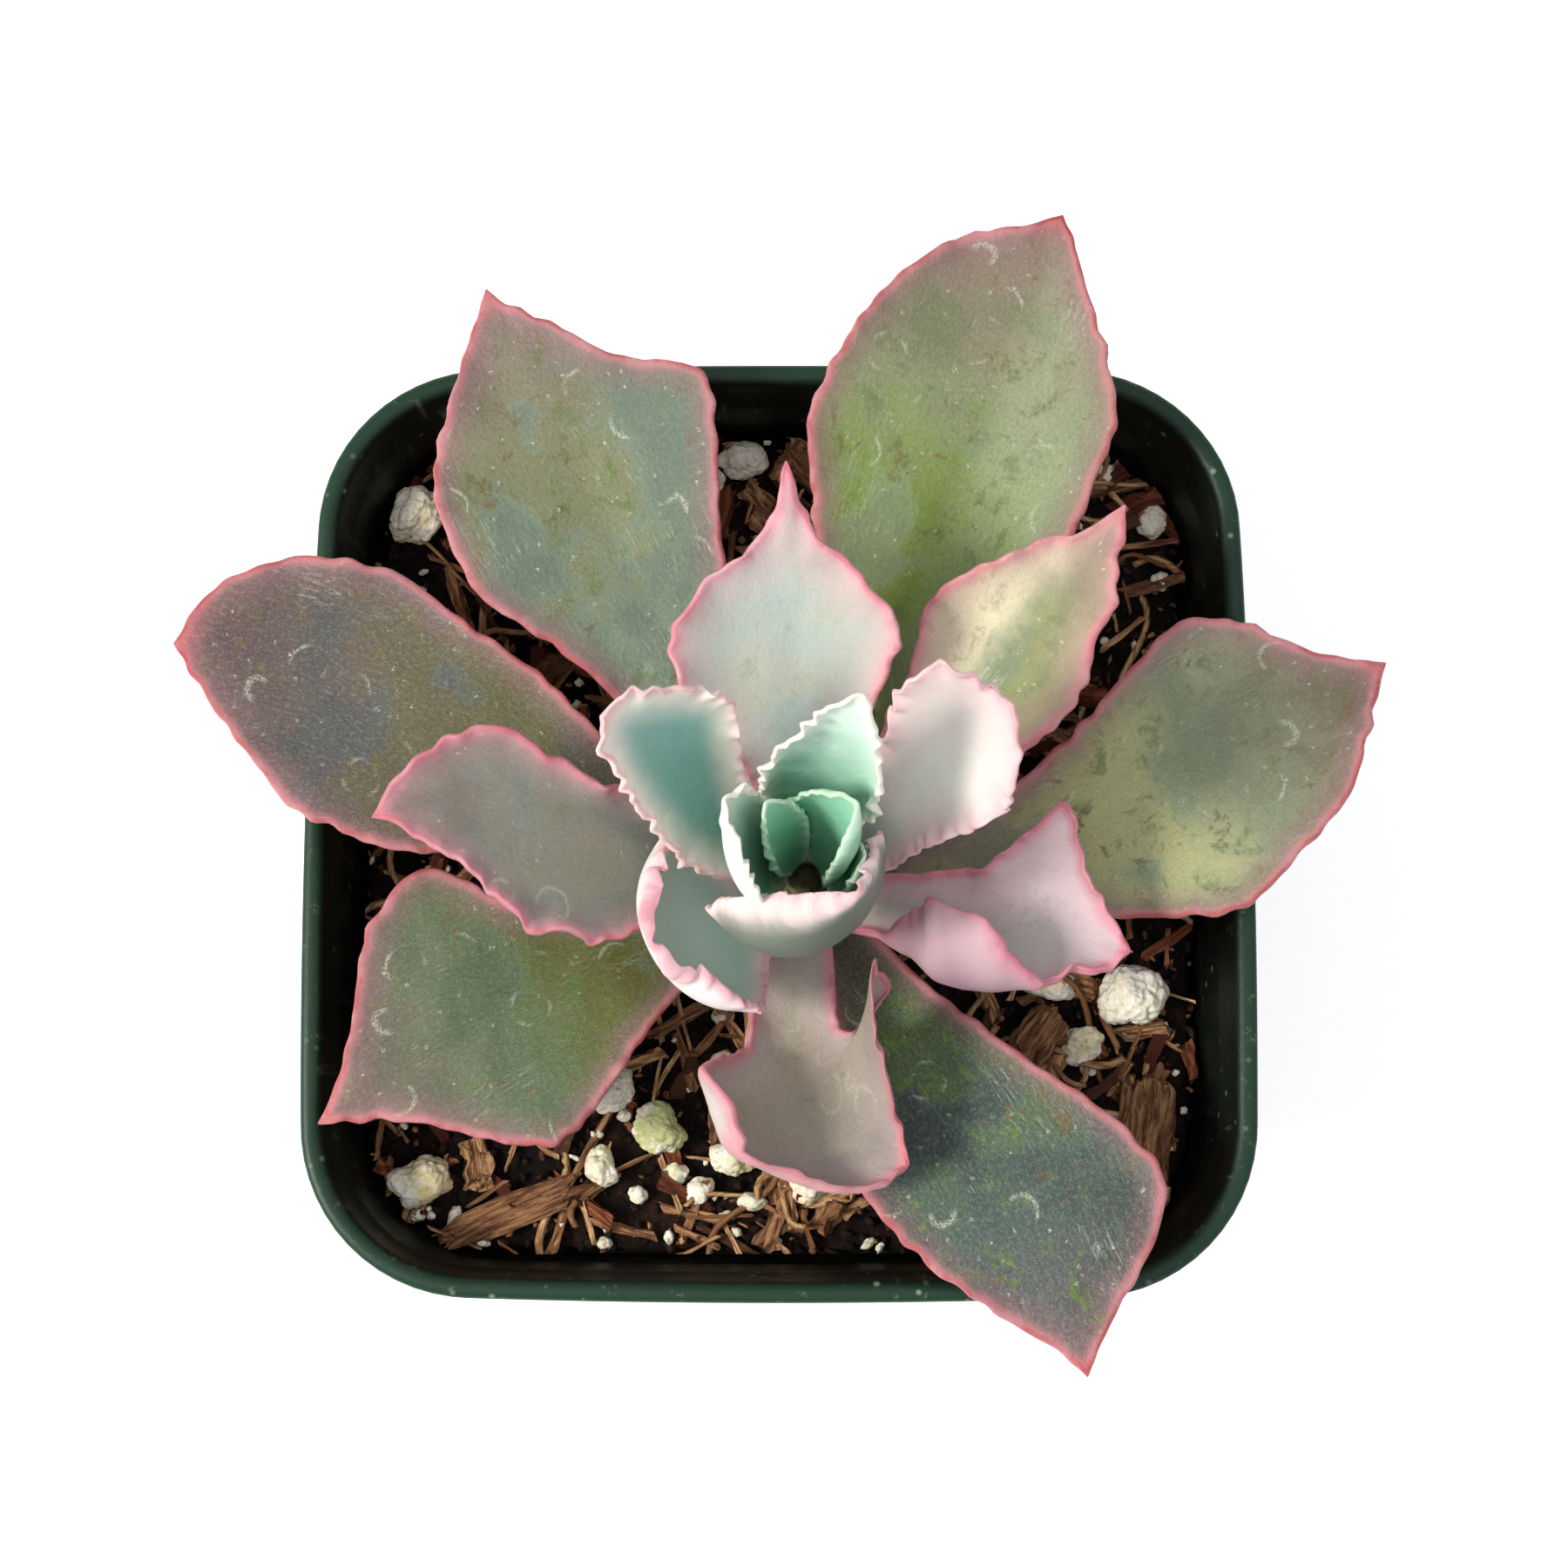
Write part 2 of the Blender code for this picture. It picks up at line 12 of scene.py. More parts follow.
import bmesh
import bpy
import numpy as np
from mathutils import Matrix, Vector, noise
from mathutils.bvhtree import BVHTree

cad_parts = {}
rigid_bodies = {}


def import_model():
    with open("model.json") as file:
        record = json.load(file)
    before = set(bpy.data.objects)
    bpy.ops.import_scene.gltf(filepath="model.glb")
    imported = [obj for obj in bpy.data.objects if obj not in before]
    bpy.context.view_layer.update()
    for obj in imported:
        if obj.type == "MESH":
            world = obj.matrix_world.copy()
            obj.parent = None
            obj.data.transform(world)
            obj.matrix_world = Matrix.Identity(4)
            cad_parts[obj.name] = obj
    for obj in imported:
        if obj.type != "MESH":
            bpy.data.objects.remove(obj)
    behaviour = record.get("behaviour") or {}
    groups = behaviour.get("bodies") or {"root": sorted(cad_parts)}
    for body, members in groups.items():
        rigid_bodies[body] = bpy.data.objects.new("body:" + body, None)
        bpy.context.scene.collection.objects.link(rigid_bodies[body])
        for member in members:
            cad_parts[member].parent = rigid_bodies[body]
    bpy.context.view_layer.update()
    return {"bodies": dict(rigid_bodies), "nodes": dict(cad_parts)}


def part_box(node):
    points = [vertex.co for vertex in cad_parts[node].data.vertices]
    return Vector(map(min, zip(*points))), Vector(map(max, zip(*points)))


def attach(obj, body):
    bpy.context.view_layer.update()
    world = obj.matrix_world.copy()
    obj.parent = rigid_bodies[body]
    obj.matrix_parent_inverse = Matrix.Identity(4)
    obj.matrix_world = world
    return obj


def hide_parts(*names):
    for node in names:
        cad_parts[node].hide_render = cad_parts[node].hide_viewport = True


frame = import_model()
LOG = logging.getLogger("succulent")

MM = 0.001
BODY = "root"
CHIP_CUTS = 4  # how often a bark chunk's faces are cut in four, up to
CHIP_FACES = 9000
PATTERN_STEP = (7.3, 3.1, 0.0)  # millimetres from one leaf's stretch of the patterns to the next
UNDERSIDE_APART = 9.0  # millimetres between the patterns of a leaf's two skins
TIP_RINGS_FROM, LAST_RING = 0.955, 0.9985  # shares of a leaf's length
SEED_STRIDE = 17.0  # between the litter's random draws

Array = np.ndarray
Material = bpy.types.Material
Mesh = bpy.types.Mesh
Object = bpy.types.Object
Socket = bpy.types.NodeSocket
Colour = tuple[float, float, float]


def paint(red: float, green: float, blue: float) -> Colour:
    """Turn a colour as a screen shows it, 0 to 1, into the linear values that a shader takes.

    Args:
        red, green, blue: The colour's shares on a screen.

    Returns:
        The same colour in linear light.
    """
    return tuple(
        value / 12.92 if value <= 0.04045 else ((value + 0.055) / 1.055) ** 2.4
        for value in (red, green, blue)
    )


# Shader and geometry node building


class Value:
    """A number in a node tree. Sums and products of Values add the Math nodes that work them out."""

    def __init__(self, graph: "Graph", socket: Socket) -> None:
        """Wrap one output socket of a graph."""
        self.graph = graph
        self.socket = socket

    def _join(self, operation: str, *operands: "Value | float", clamp: bool = False) -> "Value":
        """Add a Math node.

        Args:
            operation: The Math node's operation.
            operands: Its inputs, in order.
            clamp: Whether the result is kept between 0 and 1.

        Returns:
            The node's result.
        """
        kind = f"{self.graph.prefix}NodeMath"
        settings = {"operation": operation, "use_clamp": clamp}
        node = self.graph.node(kind, settings, dict(enumerate(operands)))
        return Value(self.graph, node.outputs[0])

    def __add__(self, other: "Value | float") -> "Value":
        """Sum."""
        return self._join("ADD", self, other)

    def __sub__(self, other: "Value | float") -> "Value":
        """Difference."""
        return self._join("SUBTRACT", self, other)

    def __rsub__(self, other: float) -> "Value":
        """Difference from a plain number."""
        return self._join("SUBTRACT", other, self)

    def __mul__(self, other: "Value | float") -> "Value":
        """Product."""
        return self._join("MULTIPLY", self, other)

    __radd__ = __add__
    __rmul__ = __mul__

    def bounded(self) -> "Value":
        """The same number kept between 0 and 1."""
        return self._join("ADD", self, 0.0, clamp=True)

    def size(self) -> "Value":
        """The number without its sign."""
        return self._join("ABSOLUTE", self)

    def ramp(self, low: float, high: float) -> "Value":
        """A smooth rise from 0 at low to 1 at high, or a fall where low is above high.

        Args:
            low: Where the result is 0.
            high: Where the result is 1.

        Returns:
            The smoothed share.
        """
        start, end, first, last = (low, high, 0.0, 1.0) if low < high else (high, low, 1.0, 0.0)
        inputs = {"Value": self, "From Min": start, "From Max": end, "To Min": first, "To Max": last}
        node = self.graph.node("ShaderNodeMapRange", {"interpolation_type": "SMOOTHSTEP"}, inputs)
        return Value(self.graph, node.outputs["Result"])


class Graph:
    """A node tree under construction."""

    prefix = "Shader"

    def __init__(self, tree: bpy.types.NodeTree) -> None:
        """Start on an emptied tree."""
        self.tree = tree
        tree.nodes.clear()

    def node(self, kind: str, settings: dict | None = None, inputs: dict | None = None) -> bpy.types.Node:
        """Add a node, set it up, then fill its sockets.

        Args:
            kind: The node's type.
            settings: Properties of the node, such as its operation.
            inputs: Values, Values of this graph or sockets, by socket name or number.

        Returns:
            The new node.
        """
        node = self.tree.nodes.new(kind)
        for name, setting in (settings or {}).items():
            setattr(node, name, setting)
        for key, given in (inputs or {}).items():
            socket = node.inputs[key]
            if isinstance(given, Value):
                given = given.socket
            if isinstance(given, Socket):
                self.tree.links.new(given, socket)
            elif socket.type == "RGBA" and len(given) == 3:
                socket.default_value = (*given, 1.0)
            else:
                socket.default_value = given
        return node


    def vector(self, operation: str, first: object, second: object) -> Socket:
        """Return the result of one operation on two vectors, fixed or linked."""
        return self.node("ShaderNodeVectorMath", {"operation": operation}, {0: first, 1: second}).outputs[0]

    def axes(self, x: Value | float = 0.0, y: Value | float = 0.0, z: Value | float = 0.0) -> Socket:
        """Return a vector made of three numbers."""
        return self.node("ShaderNodeCombineXYZ", None, {"X": x, "Y": y, "Z": z}).outputs[0]


class Finish(Graph):
    """The nodes of one material, from its patterns to its surface."""

    def __init__(self, name: str, origin: tuple[float, float, float] = (0.0, 0.0, 0.0)) -> None:
        """Start a material whose patterns begin at an origin, so that like pieces differ.

        Args:
            name: The material's name.
            origin: What is added to every place before a pattern is read, in metres.
        """
        self.material = bpy.data.materials.new(name)
        self.material.use_nodes = True
        super().__init__(self.material.node_tree)
        coordinates = self.node("ShaderNodeTexCoord")
        self.place = self.vector("ADD", coordinates.outputs["Object"], origin)

    def attribute(self, name: str) -> Value:
        """Read a number stored on the mesh."""
        return Value(self, self.node("ShaderNodeAttribute", {"attribute_name": name}).outputs["Fac"])

    def stored_place(self, name: str) -> Socket:
        """Read a vector stored on the mesh."""
        return self.node("ShaderNodeAttribute", {"attribute_name": name}).outputs["Vector"]

    def cloud(
        self, scale: float, detail: float = 3.0, rough: float = 0.55, warp: float = 0.0,
        at: Socket | None = None,
    ) -> Value:
        """Soft random variation between 0 and 1.

        Args:
            scale: Lumps to the unit of the place that is read.
            detail: Octaves of finer variation.
            rough: How strong the finer variation is.
            warp: How far the pattern is distorted.
            at: The place, or None for the object's own.

        Returns:
            The variation.
        """
        inputs = {
            "Vector": self.place if at is None else at, "Scale": scale, "Detail": detail,
            "Roughness": rough, "Distortion": warp,
        }
        return Value(self, self.node("ShaderNodeTexNoise", None, inputs).outputs["Fac"])

    def cells(self, scale: float, feature: str = "F1", spread: float = 1.0, at: Socket | None = None) -> Value:
        """Distance within a pattern of random cells.

        Args:
            scale: Cells to the unit of the place that is read.
            feature: The Voronoi node's feature, such as F1 or DISTANCE_TO_EDGE.
            spread: How random the cells' places are.
            at: The place, or None for the object's own.

        Returns:
            The distance.
        """
        inputs = {"Vector": self.place if at is None else at, "Scale": scale, "Randomness": spread}
        return Value(self, self.node("ShaderNodeTexVoronoi", {"feature": feature}, inputs).outputs["Distance"])

    def blend(
        self, share: Value | float, first: Colour | Socket,
        second: Colour | Socket, mode: str = "MIX",
    ) -> Socket:
        """Mix two colours.

        Args:
            share: How much of the second shows.
            first: The colour underneath.
            second: The colour laid over it.
            mode: The Mix node's blend type.

        Returns:
            The mixed colour.
        """
        settings = {"data_type": "RGBA", "blend_type": mode, "clamp_factor": True}
        return self.node("ShaderNodeMix", settings, {0: share, 6: first, 7: second}).outputs[2]

    def relief(self, height: Value, depth: float, strength: float = 1.0, under: Socket | None = None) -> Socket:
        """Turn a height into a bumped normal.

        Args:
            height: The height, 0 to 1.
            depth: The height's size in metres.
            strength: How much of the bump shows.
            under: A coarser bumped normal that this one is laid on.

        Returns:
            The normal.
        """
        inputs = {"Height": height, "Distance": depth, "Strength": strength}
        if under is not None:
            inputs["Normal"] = under
        return self.node("ShaderNodeBump", None, inputs).outputs["Normal"]

    def surface(self, **inputs: object) -> Material:
        """Close the material with a Principled surface.

        Args:
            inputs: Values or sockets by input name, with spaces written as underscores.

        Returns:
            The finished material.
        """
        named = {name.replace("_", " "): given for name, given in inputs.items()}
        shader = self.node("ShaderNodeBsdfPrincipled", None, named)
        self.node("ShaderNodeOutputMaterial", None, {"Surface": shader.outputs["BSDF"]})
        return self.material


# Meshes


def linked(name: str, data: bpy.types.ID | None) -> Object:
    """Put an object with this data in the scene.

    Args:
        name: The object's name.
        data: What it shows, or None.

    Returns:
        The new object.
    """
    obj = bpy.data.objects.new(name, data)
    bpy.context.scene.collection.objects.link(obj)
    return obj


def mesh_of(name: str, bm: bmesh.types.BMesh) -> Mesh:
    """Turn an edited mesh into a plain one and free it.

    Args:
        name: The mesh's name.
        bm: The edited mesh.

    Returns:
        The plain mesh.
    """
    mesh = bpy.data.meshes.new(name)
    bm.to_mesh(mesh)
    bm.free()
    return mesh


def new_piece(name: str, mesh: Mesh, material: Material, smooth: bool = True) -> Object:
    """Put a mesh in the scene as a piece.

    Args:
        name: The piece's name.
        mesh: Its shape, already in place.
        material: Its finish.
        smooth: Whether its faces are shaded smooth.

    Returns:
        The new object.
    """
    mesh.name = name
    mesh.materials.clear()
    mesh.materials.append(material)
    if smooth:
        mesh.shade_smooth()
    return linked(name, mesh)


def mount(obj: Object, slot: str, *nodes: str) -> Object:
    """Fix a finished piece to the frame.

    Args:
        obj: The piece.
        slot: The record's material slot; not used.
        nodes: The parts that the piece stands for.

    Returns:
        The same object.
    """
    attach(obj, BODY)
    if nodes:
        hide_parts(*nodes)
    LOG.info("%-32s %7d faces", obj.name, len(obj.data.polygons))
    return obj


def mesh_from(name: str, points: Array, faces: list[tuple[int, ...]]) -> Mesh:
    """Make a mesh of points and faces, turned so that it encloses a positive volume.

    Args:
        name: The mesh's name.
        points: One row a vertex.
        faces: Vertex numbers, a tuple a face.

    Returns:
        The mesh.
    """
    volume = 0.0
    for size in {len(face) for face in faces}:
        index = np.array([face for face in faces if len(face) == size])
        for k in range(1, size - 1):
            a, b, c = points[index[:, 0]], points[index[:, k]], points[index[:, k + 1]]
            volume += float(np.einsum("ij,ij->i", a, np.cross(b, c)).sum())
    if volume < 0:
        faces = [face[::-1] for face in faces]
    mesh = bpy.data.meshes.new(name)
    mesh.from_pydata(points.tolist(), [], faces)
    mesh.update()
    return mesh


def store(mesh: Mesh, name: str, values: Array) -> None:
    """Store a number or a vector on every vertex of a mesh.

    Args:
        mesh: The mesh.
        name: The attribute's name.
        values: One number or one row of three for each vertex.
    """
    kind, key = ("FLOAT", "value") if values.ndim == 1 else ("FLOAT_VECTOR", "vector")
    mesh.attributes.new(name, kind, "POINT").data.foreach_set(key, values.astype(np.float32).ravel())


def ring_faces(rings: int, count: int, start: int = 0) -> list[tuple[int, int, int, int]]:
    """Quads that join closed rings of vertices, each of the same count, in order.

    Args:
        rings: How many rings there are.
        count: Vertices in a ring.
        start: The first ring's first vertex.

    Returns:
        The quads.
    """
    return [
        (start + i * count + j, start + i * count + (j + 1) % count,
         start + (i + 1) * count + (j + 1) % count, start + (i + 1) * count + j)
        for i in range(rings - 1)
        for j in range(count)
    ]


def capped(name: str, rings: list[Array], bottom: tuple[float, ...], top: tuple[float, ...]) -> tuple[Mesh, Array]:
    """Join rings of equal count into a closed mesh with a point at each end.

    Args:
        name: The mesh's name.
        rings: The rings, from the bottom up.
        bottom, top: The end points.

    Returns:
        The mesh and its points.
    """
    count, last = len(rings[0]), (len(rings) - 1) * len(rings[0])
    points = np.concatenate([*rings, [bottom], [top]])
    low, high = len(points) - 2, len(points) - 1
    faces = ring_faces(len(rings), count)
    faces += [(low, (j + 1) % count, j) for j in range(count)]
    faces += [(high, last + j, last + (j + 1) % count) for j in range(count)]
    return mesh_from(name, points, faces), points


def smoothstep(low: float, high: float, value: Array | float) -> Array:
    """A smooth rise from 0 at low to 1 at high."""
    share = np.clip((np.asarray(value, float) - low) / (high - low), 0, 1)
    return share * share * (3 - 2 * share)


def monotone(stations: tuple[float, ...] | Array, values: tuple[float, ...], at: Array) -> Array:
    """Read a smooth curve that never overshoots its points.

    Args:
        stations: Where the points are, rising.
        values: The curve's values there.
        at: Where it is read.

    Returns:
        The values read.
    """
    x, y = np.asarray(stations, float), np.asarray(values, float)
    step = np.diff(x)
    slope = np.diff(y) / step
    tangent = np.concatenate(([slope[0]], np.zeros(len(x) - 2), [slope[-1]]))
    for i in range(1, len(x) - 1):
        if slope[i - 1] * slope[i] > 0:
            a, b = 2 * step[i] + step[i - 1], step[i] + 2 * step[i - 1]
            tangent[i] = (a + b) / (a / slope[i - 1] + b / slope[i])
    k = np.clip(np.searchsorted(x, at, side="right") - 1, 0, len(x) - 2)
    t = (at - x[k]) / step[k]
    return (
        (2 * t**3 - 3 * t**2 + 1) * y[k]
        + (t**3 - 2 * t**2 + t) * step[k] * tangent[k]
        + (3 * t**2 - 2 * t**3) * y[k + 1]
        + (t**3 - t**2) * step[k] * tangent[k + 1]
    )


def spaced(values: tuple[float, ...], at: Array) -> Array:
    """Read values that are spaced evenly from a leaf's foot to its tip.

    Args:
        values: The values from foot to tip.
        at: Shares of the length.

    Returns:
        The values read there.
    """
    if len(values) == 1:
        return np.full(np.shape(at), float(values[0]))
    return monotone(np.linspace(0, 1, len(values)), values, at)


def random_wave(rng: np.random.Generator, at: Array, length: float) -> Array:
    """An irregular wave whose crests come and go.

    Args:
        rng: The source of its random phases.
        at: Where it is read.
        length: The usual distance from crest to crest.

    Returns:
        The wave, mostly within 1 of zero.
    """
    total = np.zeros(np.shape(at))
    for share, weight in ((0.74, 0.5), (1.0, 0.75), (1.37, 0.45)):
        total += weight * np.sin(2 * math.pi * at / (length * share) + rng.uniform(0, 2 * math.pi))
    swell = np.sin(2 * math.pi * at / (length * 5.3) + rng.uniform(0, 2 * math.pi))
    return total * (0.72 + 0.34 * swell)


# Camera, floor and light


@dataclass
class Studio:
    """A pale floor, soft light from the near left, and a camera that looks down on the rosette."""

    rim: float
    aim: tuple[float, float] = (0.00046, 0.0034)
    elevation: float = 80.0
    distance: float = 0.26
    sensor: float = 36.0
    lens: float = 63.04
    floor_half: float = 3.0
    floor_glow: float = 0.52
    key_from: tuple[float, float, float] = (-0.76, -0.18, 0.74)
    key_distance: float = 0.75
    key_size: float = 0.2
    key_power: float = 5.4
    fill_from: tuple[float, float, float] = (0.12, -0.10, 1.0)
    fill_power: float = 1.7

    def build(self) -> None:
        """Make everything that is not part of the object."""
        self.camera()
        self.floor()
        self.lamp("key_light", self.key_from, self.key_size, self.key_power, paint(1.0, 0.985, 0.95))
        self.lamp("fill_light", self.fill_from, 0.9, self.fill_power, paint(0.97, 0.985, 1.0))
        world = bpy.data.worlds.new("studio_world")
        bpy.context.scene.world = world
        world.use_nodes = True
        graph = Graph(world.node_tree)
        shade = graph.node("ShaderNodeBackground", None, {"Color": paint(0.97, 0.98, 1.0), "Strength": 0.52})
        graph.node("ShaderNodeOutputWorld", None, {"Surface": shade.outputs[0]})
        bpy.context.scene.view_settings.view_transform = "Standard"

    def camera(self) -> None:
        """Set the camera above the near side of the pot."""
        data = bpy.data.cameras.new("camera")
        data.sensor_width = self.sensor
        data.lens = self.lens
        data.clip_start = 0.01
        obj = linked("camera", data)
        tilt = math.radians(self.elevation)
        back = Vector((0, -math.cos(tilt), math.sin(tilt)))
        obj.location = Vector((*self.aim, self.rim)) + back * self.distance
        obj.rotation_euler = back.to_track_quat("Z", "Y").to_euler()
        bpy.context.scene.camera = obj

    def lamp(self, name: str, toward: tuple[float, float, float], size: float, power: float, tint: Colour) -> None:
        """Hang one square soft light.

        Args:
            name: The light's name.
            toward: Where it stands, as a direction from the plant.
            size: The length of its side.
            power: Its power in watts.
            tint: Its colour.
        """
        data = bpy.data.lights.new(name, "AREA")
        data.size = size
        data.energy = power
        data.color = tint
        obj = linked(name, data)
        side = Vector(toward).normalized()
        obj.location = Vector((0, 0, self.rim)) + side * self.key_distance
        obj.rotation_euler = side.to_track_quat("Z", "Y").to_euler()

    def floor(self) -> None:
        """Lay the pale floor that the pot stands on."""
        bm = bmesh.new()
        bmesh.ops.create_grid(bm, x_segments=1, y_segments=1, size=self.floor_half)
        finish = Finish("floor_paper")
        grain = finish.cloud(900.0, 4.0)
        tone = finish.blend(grain, paint(0.955, 0.955, 0.95), paint(0.975, 0.975, 0.97))
        material = finish.surface(
            Base_Color=tone, Roughness=0.9, Normal=finish.relief(grain, 0.0001, 0.3),
            Emission_Color=tone, Emission_Strength=self.floor_glow,
        )
        new_piece("floor", mesh_of("floor", bm), material)


# Pot, potting mix and stem


@dataclass(frozen=True)
class PotPlastic:
    """Dark green moulded plastic: a paler lip that is partly wear and partly a painted highlight, painted shade on the
    inside walls, scuffs, dust and splashes of dried water.
    """

    body: Colour = paint(0.065, 0.17, 0.11)
    dark_patch_and_inner_shade: Colour = paint(0.03, 0.06, 0.04)
    lip: Colour = paint(0.10, 0.25, 0.16)
    chalk: Colour = paint(0.62, 0.68, 0.60)
    soil: Colour = paint(0.10, 0.07, 0.05)

    def build(self) -> Material:
        """Return the plastic's material.

        Returns:
            The material.
        """
        graph = Finish("pot_plastic")
        lip, inside, height = (graph.attribute(name) for name in ("lip", "inside", "share_up"))
        patch = graph.cloud(55.0, 4.0, 0.6)
        fine = graph.cloud(900.0, 3.0, 0.6)
        streak = graph.cloud(1.0, 4.0, 0.65, at=graph.vector("MULTIPLY", graph.place, (700.0, 700.0, 45.0)))
        specks = graph.cells(520.0).ramp(0.22, 0.06) * graph.cloud(140.0, 2.0).ramp(0.5, 0.66)
        tone = graph.blend(patch.ramp(0.3, 0.75), self.body, self.dark_patch_and_inner_shade)
        # Painted shade: the inside walls are darkened almost to black.
        tone = graph.blend(inside * 0.92, tone, self.dark_patch_and_inner_shade)
        # Partly painted highlight: the rim's top is lightened to a paler green, partly for wear and partly for the
        # light it catches.
        tone = graph.blend(lip * (0.4 + 0.45 * patch), tone, self.lip)
        scuff = streak.ramp(0.6, 0.78) * (0.16 + 0.3 * lip)
        tone = graph.blend(scuff, tone, self.chalk)
        tone = graph.blend(specks * (0.35 + 0.4 * lip), tone, self.chalk)
        dirt = inside * height.ramp(0.93, 0.84) * graph.cloud(210.0, 5.0, 0.7).ramp(0.45, 0.62)
        tone = graph.blend(dirt * 0.6, tone, self.soil)
        foot = (1 - inside) * height.ramp(0.16, 0.0) * fine.ramp(0.4, 0.7)
        tone = graph.blend(foot * 0.45, tone, self.chalk)
        rough = (0.36 + 0.2 * patch + 0.25 * scuff + 0.3 * dirt).bounded()
        grain = graph.relief(fine, 0.00008, 0.5)
        drawn = graph.relief(streak, 0.00006, 0.35, grain)
        return graph.surface(Base_Color=tone, Roughness=rough, Normal=drawn, Specular_IOR_Level=0.32)


@dataclass
class Pot:
    """The square nursery pot: tapered body, stepped collar, rolled lip, inner ledge and drain holes."""

    low: Vector
    high: Vector
    base_width: float = 0.063
    rim_corner: float = 0.0163
    base_corner: float = 0.012
    wall: float = 0.0011
    lip: float = 0.0009
    collar: float = 0.0095
    floor: float = 0.0014
    drain: float = 0.009
    drain_offset: float = 0.0195
    corner_steps: int = 14
    side_steps: int = 18
    bow: float = 0.00045
    ledge: float = 0.0042
    ledge_depth: float = 0.0002
    foot_rise: float = 0.0006

    @property
    def rim(self) -> float:
        """Height of the rim."""
        return self.high.z

    def half(self, z: float) -> tuple[float, float]:
        """Outside half width and corner radius of the body at a height.

        Args:
            z: The height.

        Returns:
            The half width across the flats and the corner radius.
        """
        share = z / self.rim
        rim_half = self.high.x - self.lip
        width = self.base_width / 2 + (rim_half - self.base_width / 2) * share
        return width, self.base_corner + (self.rim_corner - self.lip - self.base_corner) * share

    def outline(self, half: float, corner: float, z: float, inset: float = 0.0) -> Array:
        """Points anticlockwise round a square with rounded corners and slightly bowed sides.

        Args:
            half: Half of the width across the flats.
            corner: The corner radius.
            z: The height.
            inset: How far the outline is drawn in.

        Returns:
            One row a point.
        """
        half, corner = half - inset, max(corner - inset, 0.0005)
        rows = []
        for quarter in range(4):
            turn = math.radians(90 * quarter)
            cos, sin = math.cos(turn), math.sin(turn)
            reach = half - corner
            for step in range(self.side_steps):
                along = -reach + 2 * reach * step / self.side_steps
                out = half + self.bow * (1 - (along / reach) ** 2) - self.bow
                rows.append((out * cos - along * sin, out * sin + along * cos, z))
            for step in range(self.corner_steps):
                angle = math.radians(90 * step / self.corner_steps)
                x, y = reach + corner * math.cos(angle), reach + corner * math.sin(angle)
                x, y = x - self.bow, y - self.bow
                rows.append((x * cos - y * sin, x * sin + y * cos, z))
        return np.array(rows)

    def inside(self, z: float, inset: float = 0.0) -> tuple[float, float]:
        """Half width and corner radius of the hollow at a height, less an inset."""
        half, corner = self.half(z)
        return half - self.wall - inset, corner - self.wall - inset

    def profile(self) -> list[tuple[float, float, float, float]]:
        """Height, distance out from the body's wall, lip share (where the rim's painted highlight shows) and inside
        share (where the inside walls' painted shade shows), from foot to inner floor.

        Returns:
            One row a ring.
        """
        rows = [(0.0, -0.0016, 0, 0), (0.0, -0.0009, 0, 0), (0.00025, -0.0003, 0, 0), (0.0009, 0.0, 0, 0)]
        collar = self.rim - self.collar
        rows += [(z, 0.0, 0, 0) for z in np.linspace(0.006, collar - 0.0004, 14)]
        rows += [(collar - 0.0001, 0.00008, 0, 0), (collar + 0.0001, self.lip * 0.85, 0, 0)]
        rows += [(collar + 0.0004, self.lip, 0, 0)]
        rows += [(z, self.lip, 0, 0) for z in np.linspace(collar + 0.002, self.rim - 0.0022, 5)]
        rows += [(self.rim - 0.0012, self.lip, 0.35, 0)]
        middle, radius = (self.lip - self.wall) / 2, (self.lip + self.wall) / 2
        for step in range(9):
            angle = math.pi * step / 8
            # The lip share, for the rim's painted highlight, fades out round the rolled lip as the inside share, for
            # the painted shade, fades in.
            pale = min(1.0, 1.6 - 1.6 * step / 8)
            rows.append((
                self.rim - 0.0007 + 0.0007 * math.sin(angle), middle + radius * math.cos(angle), pale, 1 - pale,
            ))
        rows += [(self.rim - 0.0014, -self.wall, 0, 1), (self.rim - self.ledge, -self.wall, 0, 1)]
        rows += [(self.rim - self.ledge - 0.0002, -self.wall - self.ledge_depth, 0, 1)]
        rows += [(z, -self.wall - self.ledge_depth, 0, 1) for z in np.linspace(self.rim - 0.006, collar, 4)]
        rows += [(collar - 0.0003, -self.wall, 0, 1)]
        rows += [(z, -self.wall, 0, 1) for z in np.linspace(collar - 0.004, self.floor + 0.001, 8)]
        rows += [(self.floor + 0.0003, -self.wall - 0.0004, 0, 1), (self.floor, -self.wall - 0.001, 0, 1)]
        return rows

    def build(self) -> Object:
        """Make the pot, with its drain holes cut, and dress it.

        Returns:
            The finished pot.
        """
        rows = self.profile()
        rings = [self.outline(*self.half(z), z, -out) for z, out, _, _ in rows]
        mesh, points = capped("pot_moulding", rings, (0, 0, self.foot_rise), (0, 0, self.floor))
        share = np.repeat([(lip, inside) for _, _, lip, inside in rows], len(rings[0]), axis=0)
        share = np.concatenate([share, [(0, 0), (0, 1)]])
        store(mesh, "lip", share[:, 0])
        store(mesh, "inside", share[:, 1])
        store(mesh, "share_up", points[:, 2] / self.rim)
        obj = new_piece("pot_moulding", mesh, PotPlastic().build(), smooth=False)
        self.drill(obj)
        obj.data.shade_smooth()
        obj.data.set_sharp_from_angle(angle=math.radians(50))
        return mount(obj, "pot_plastic", "pot")

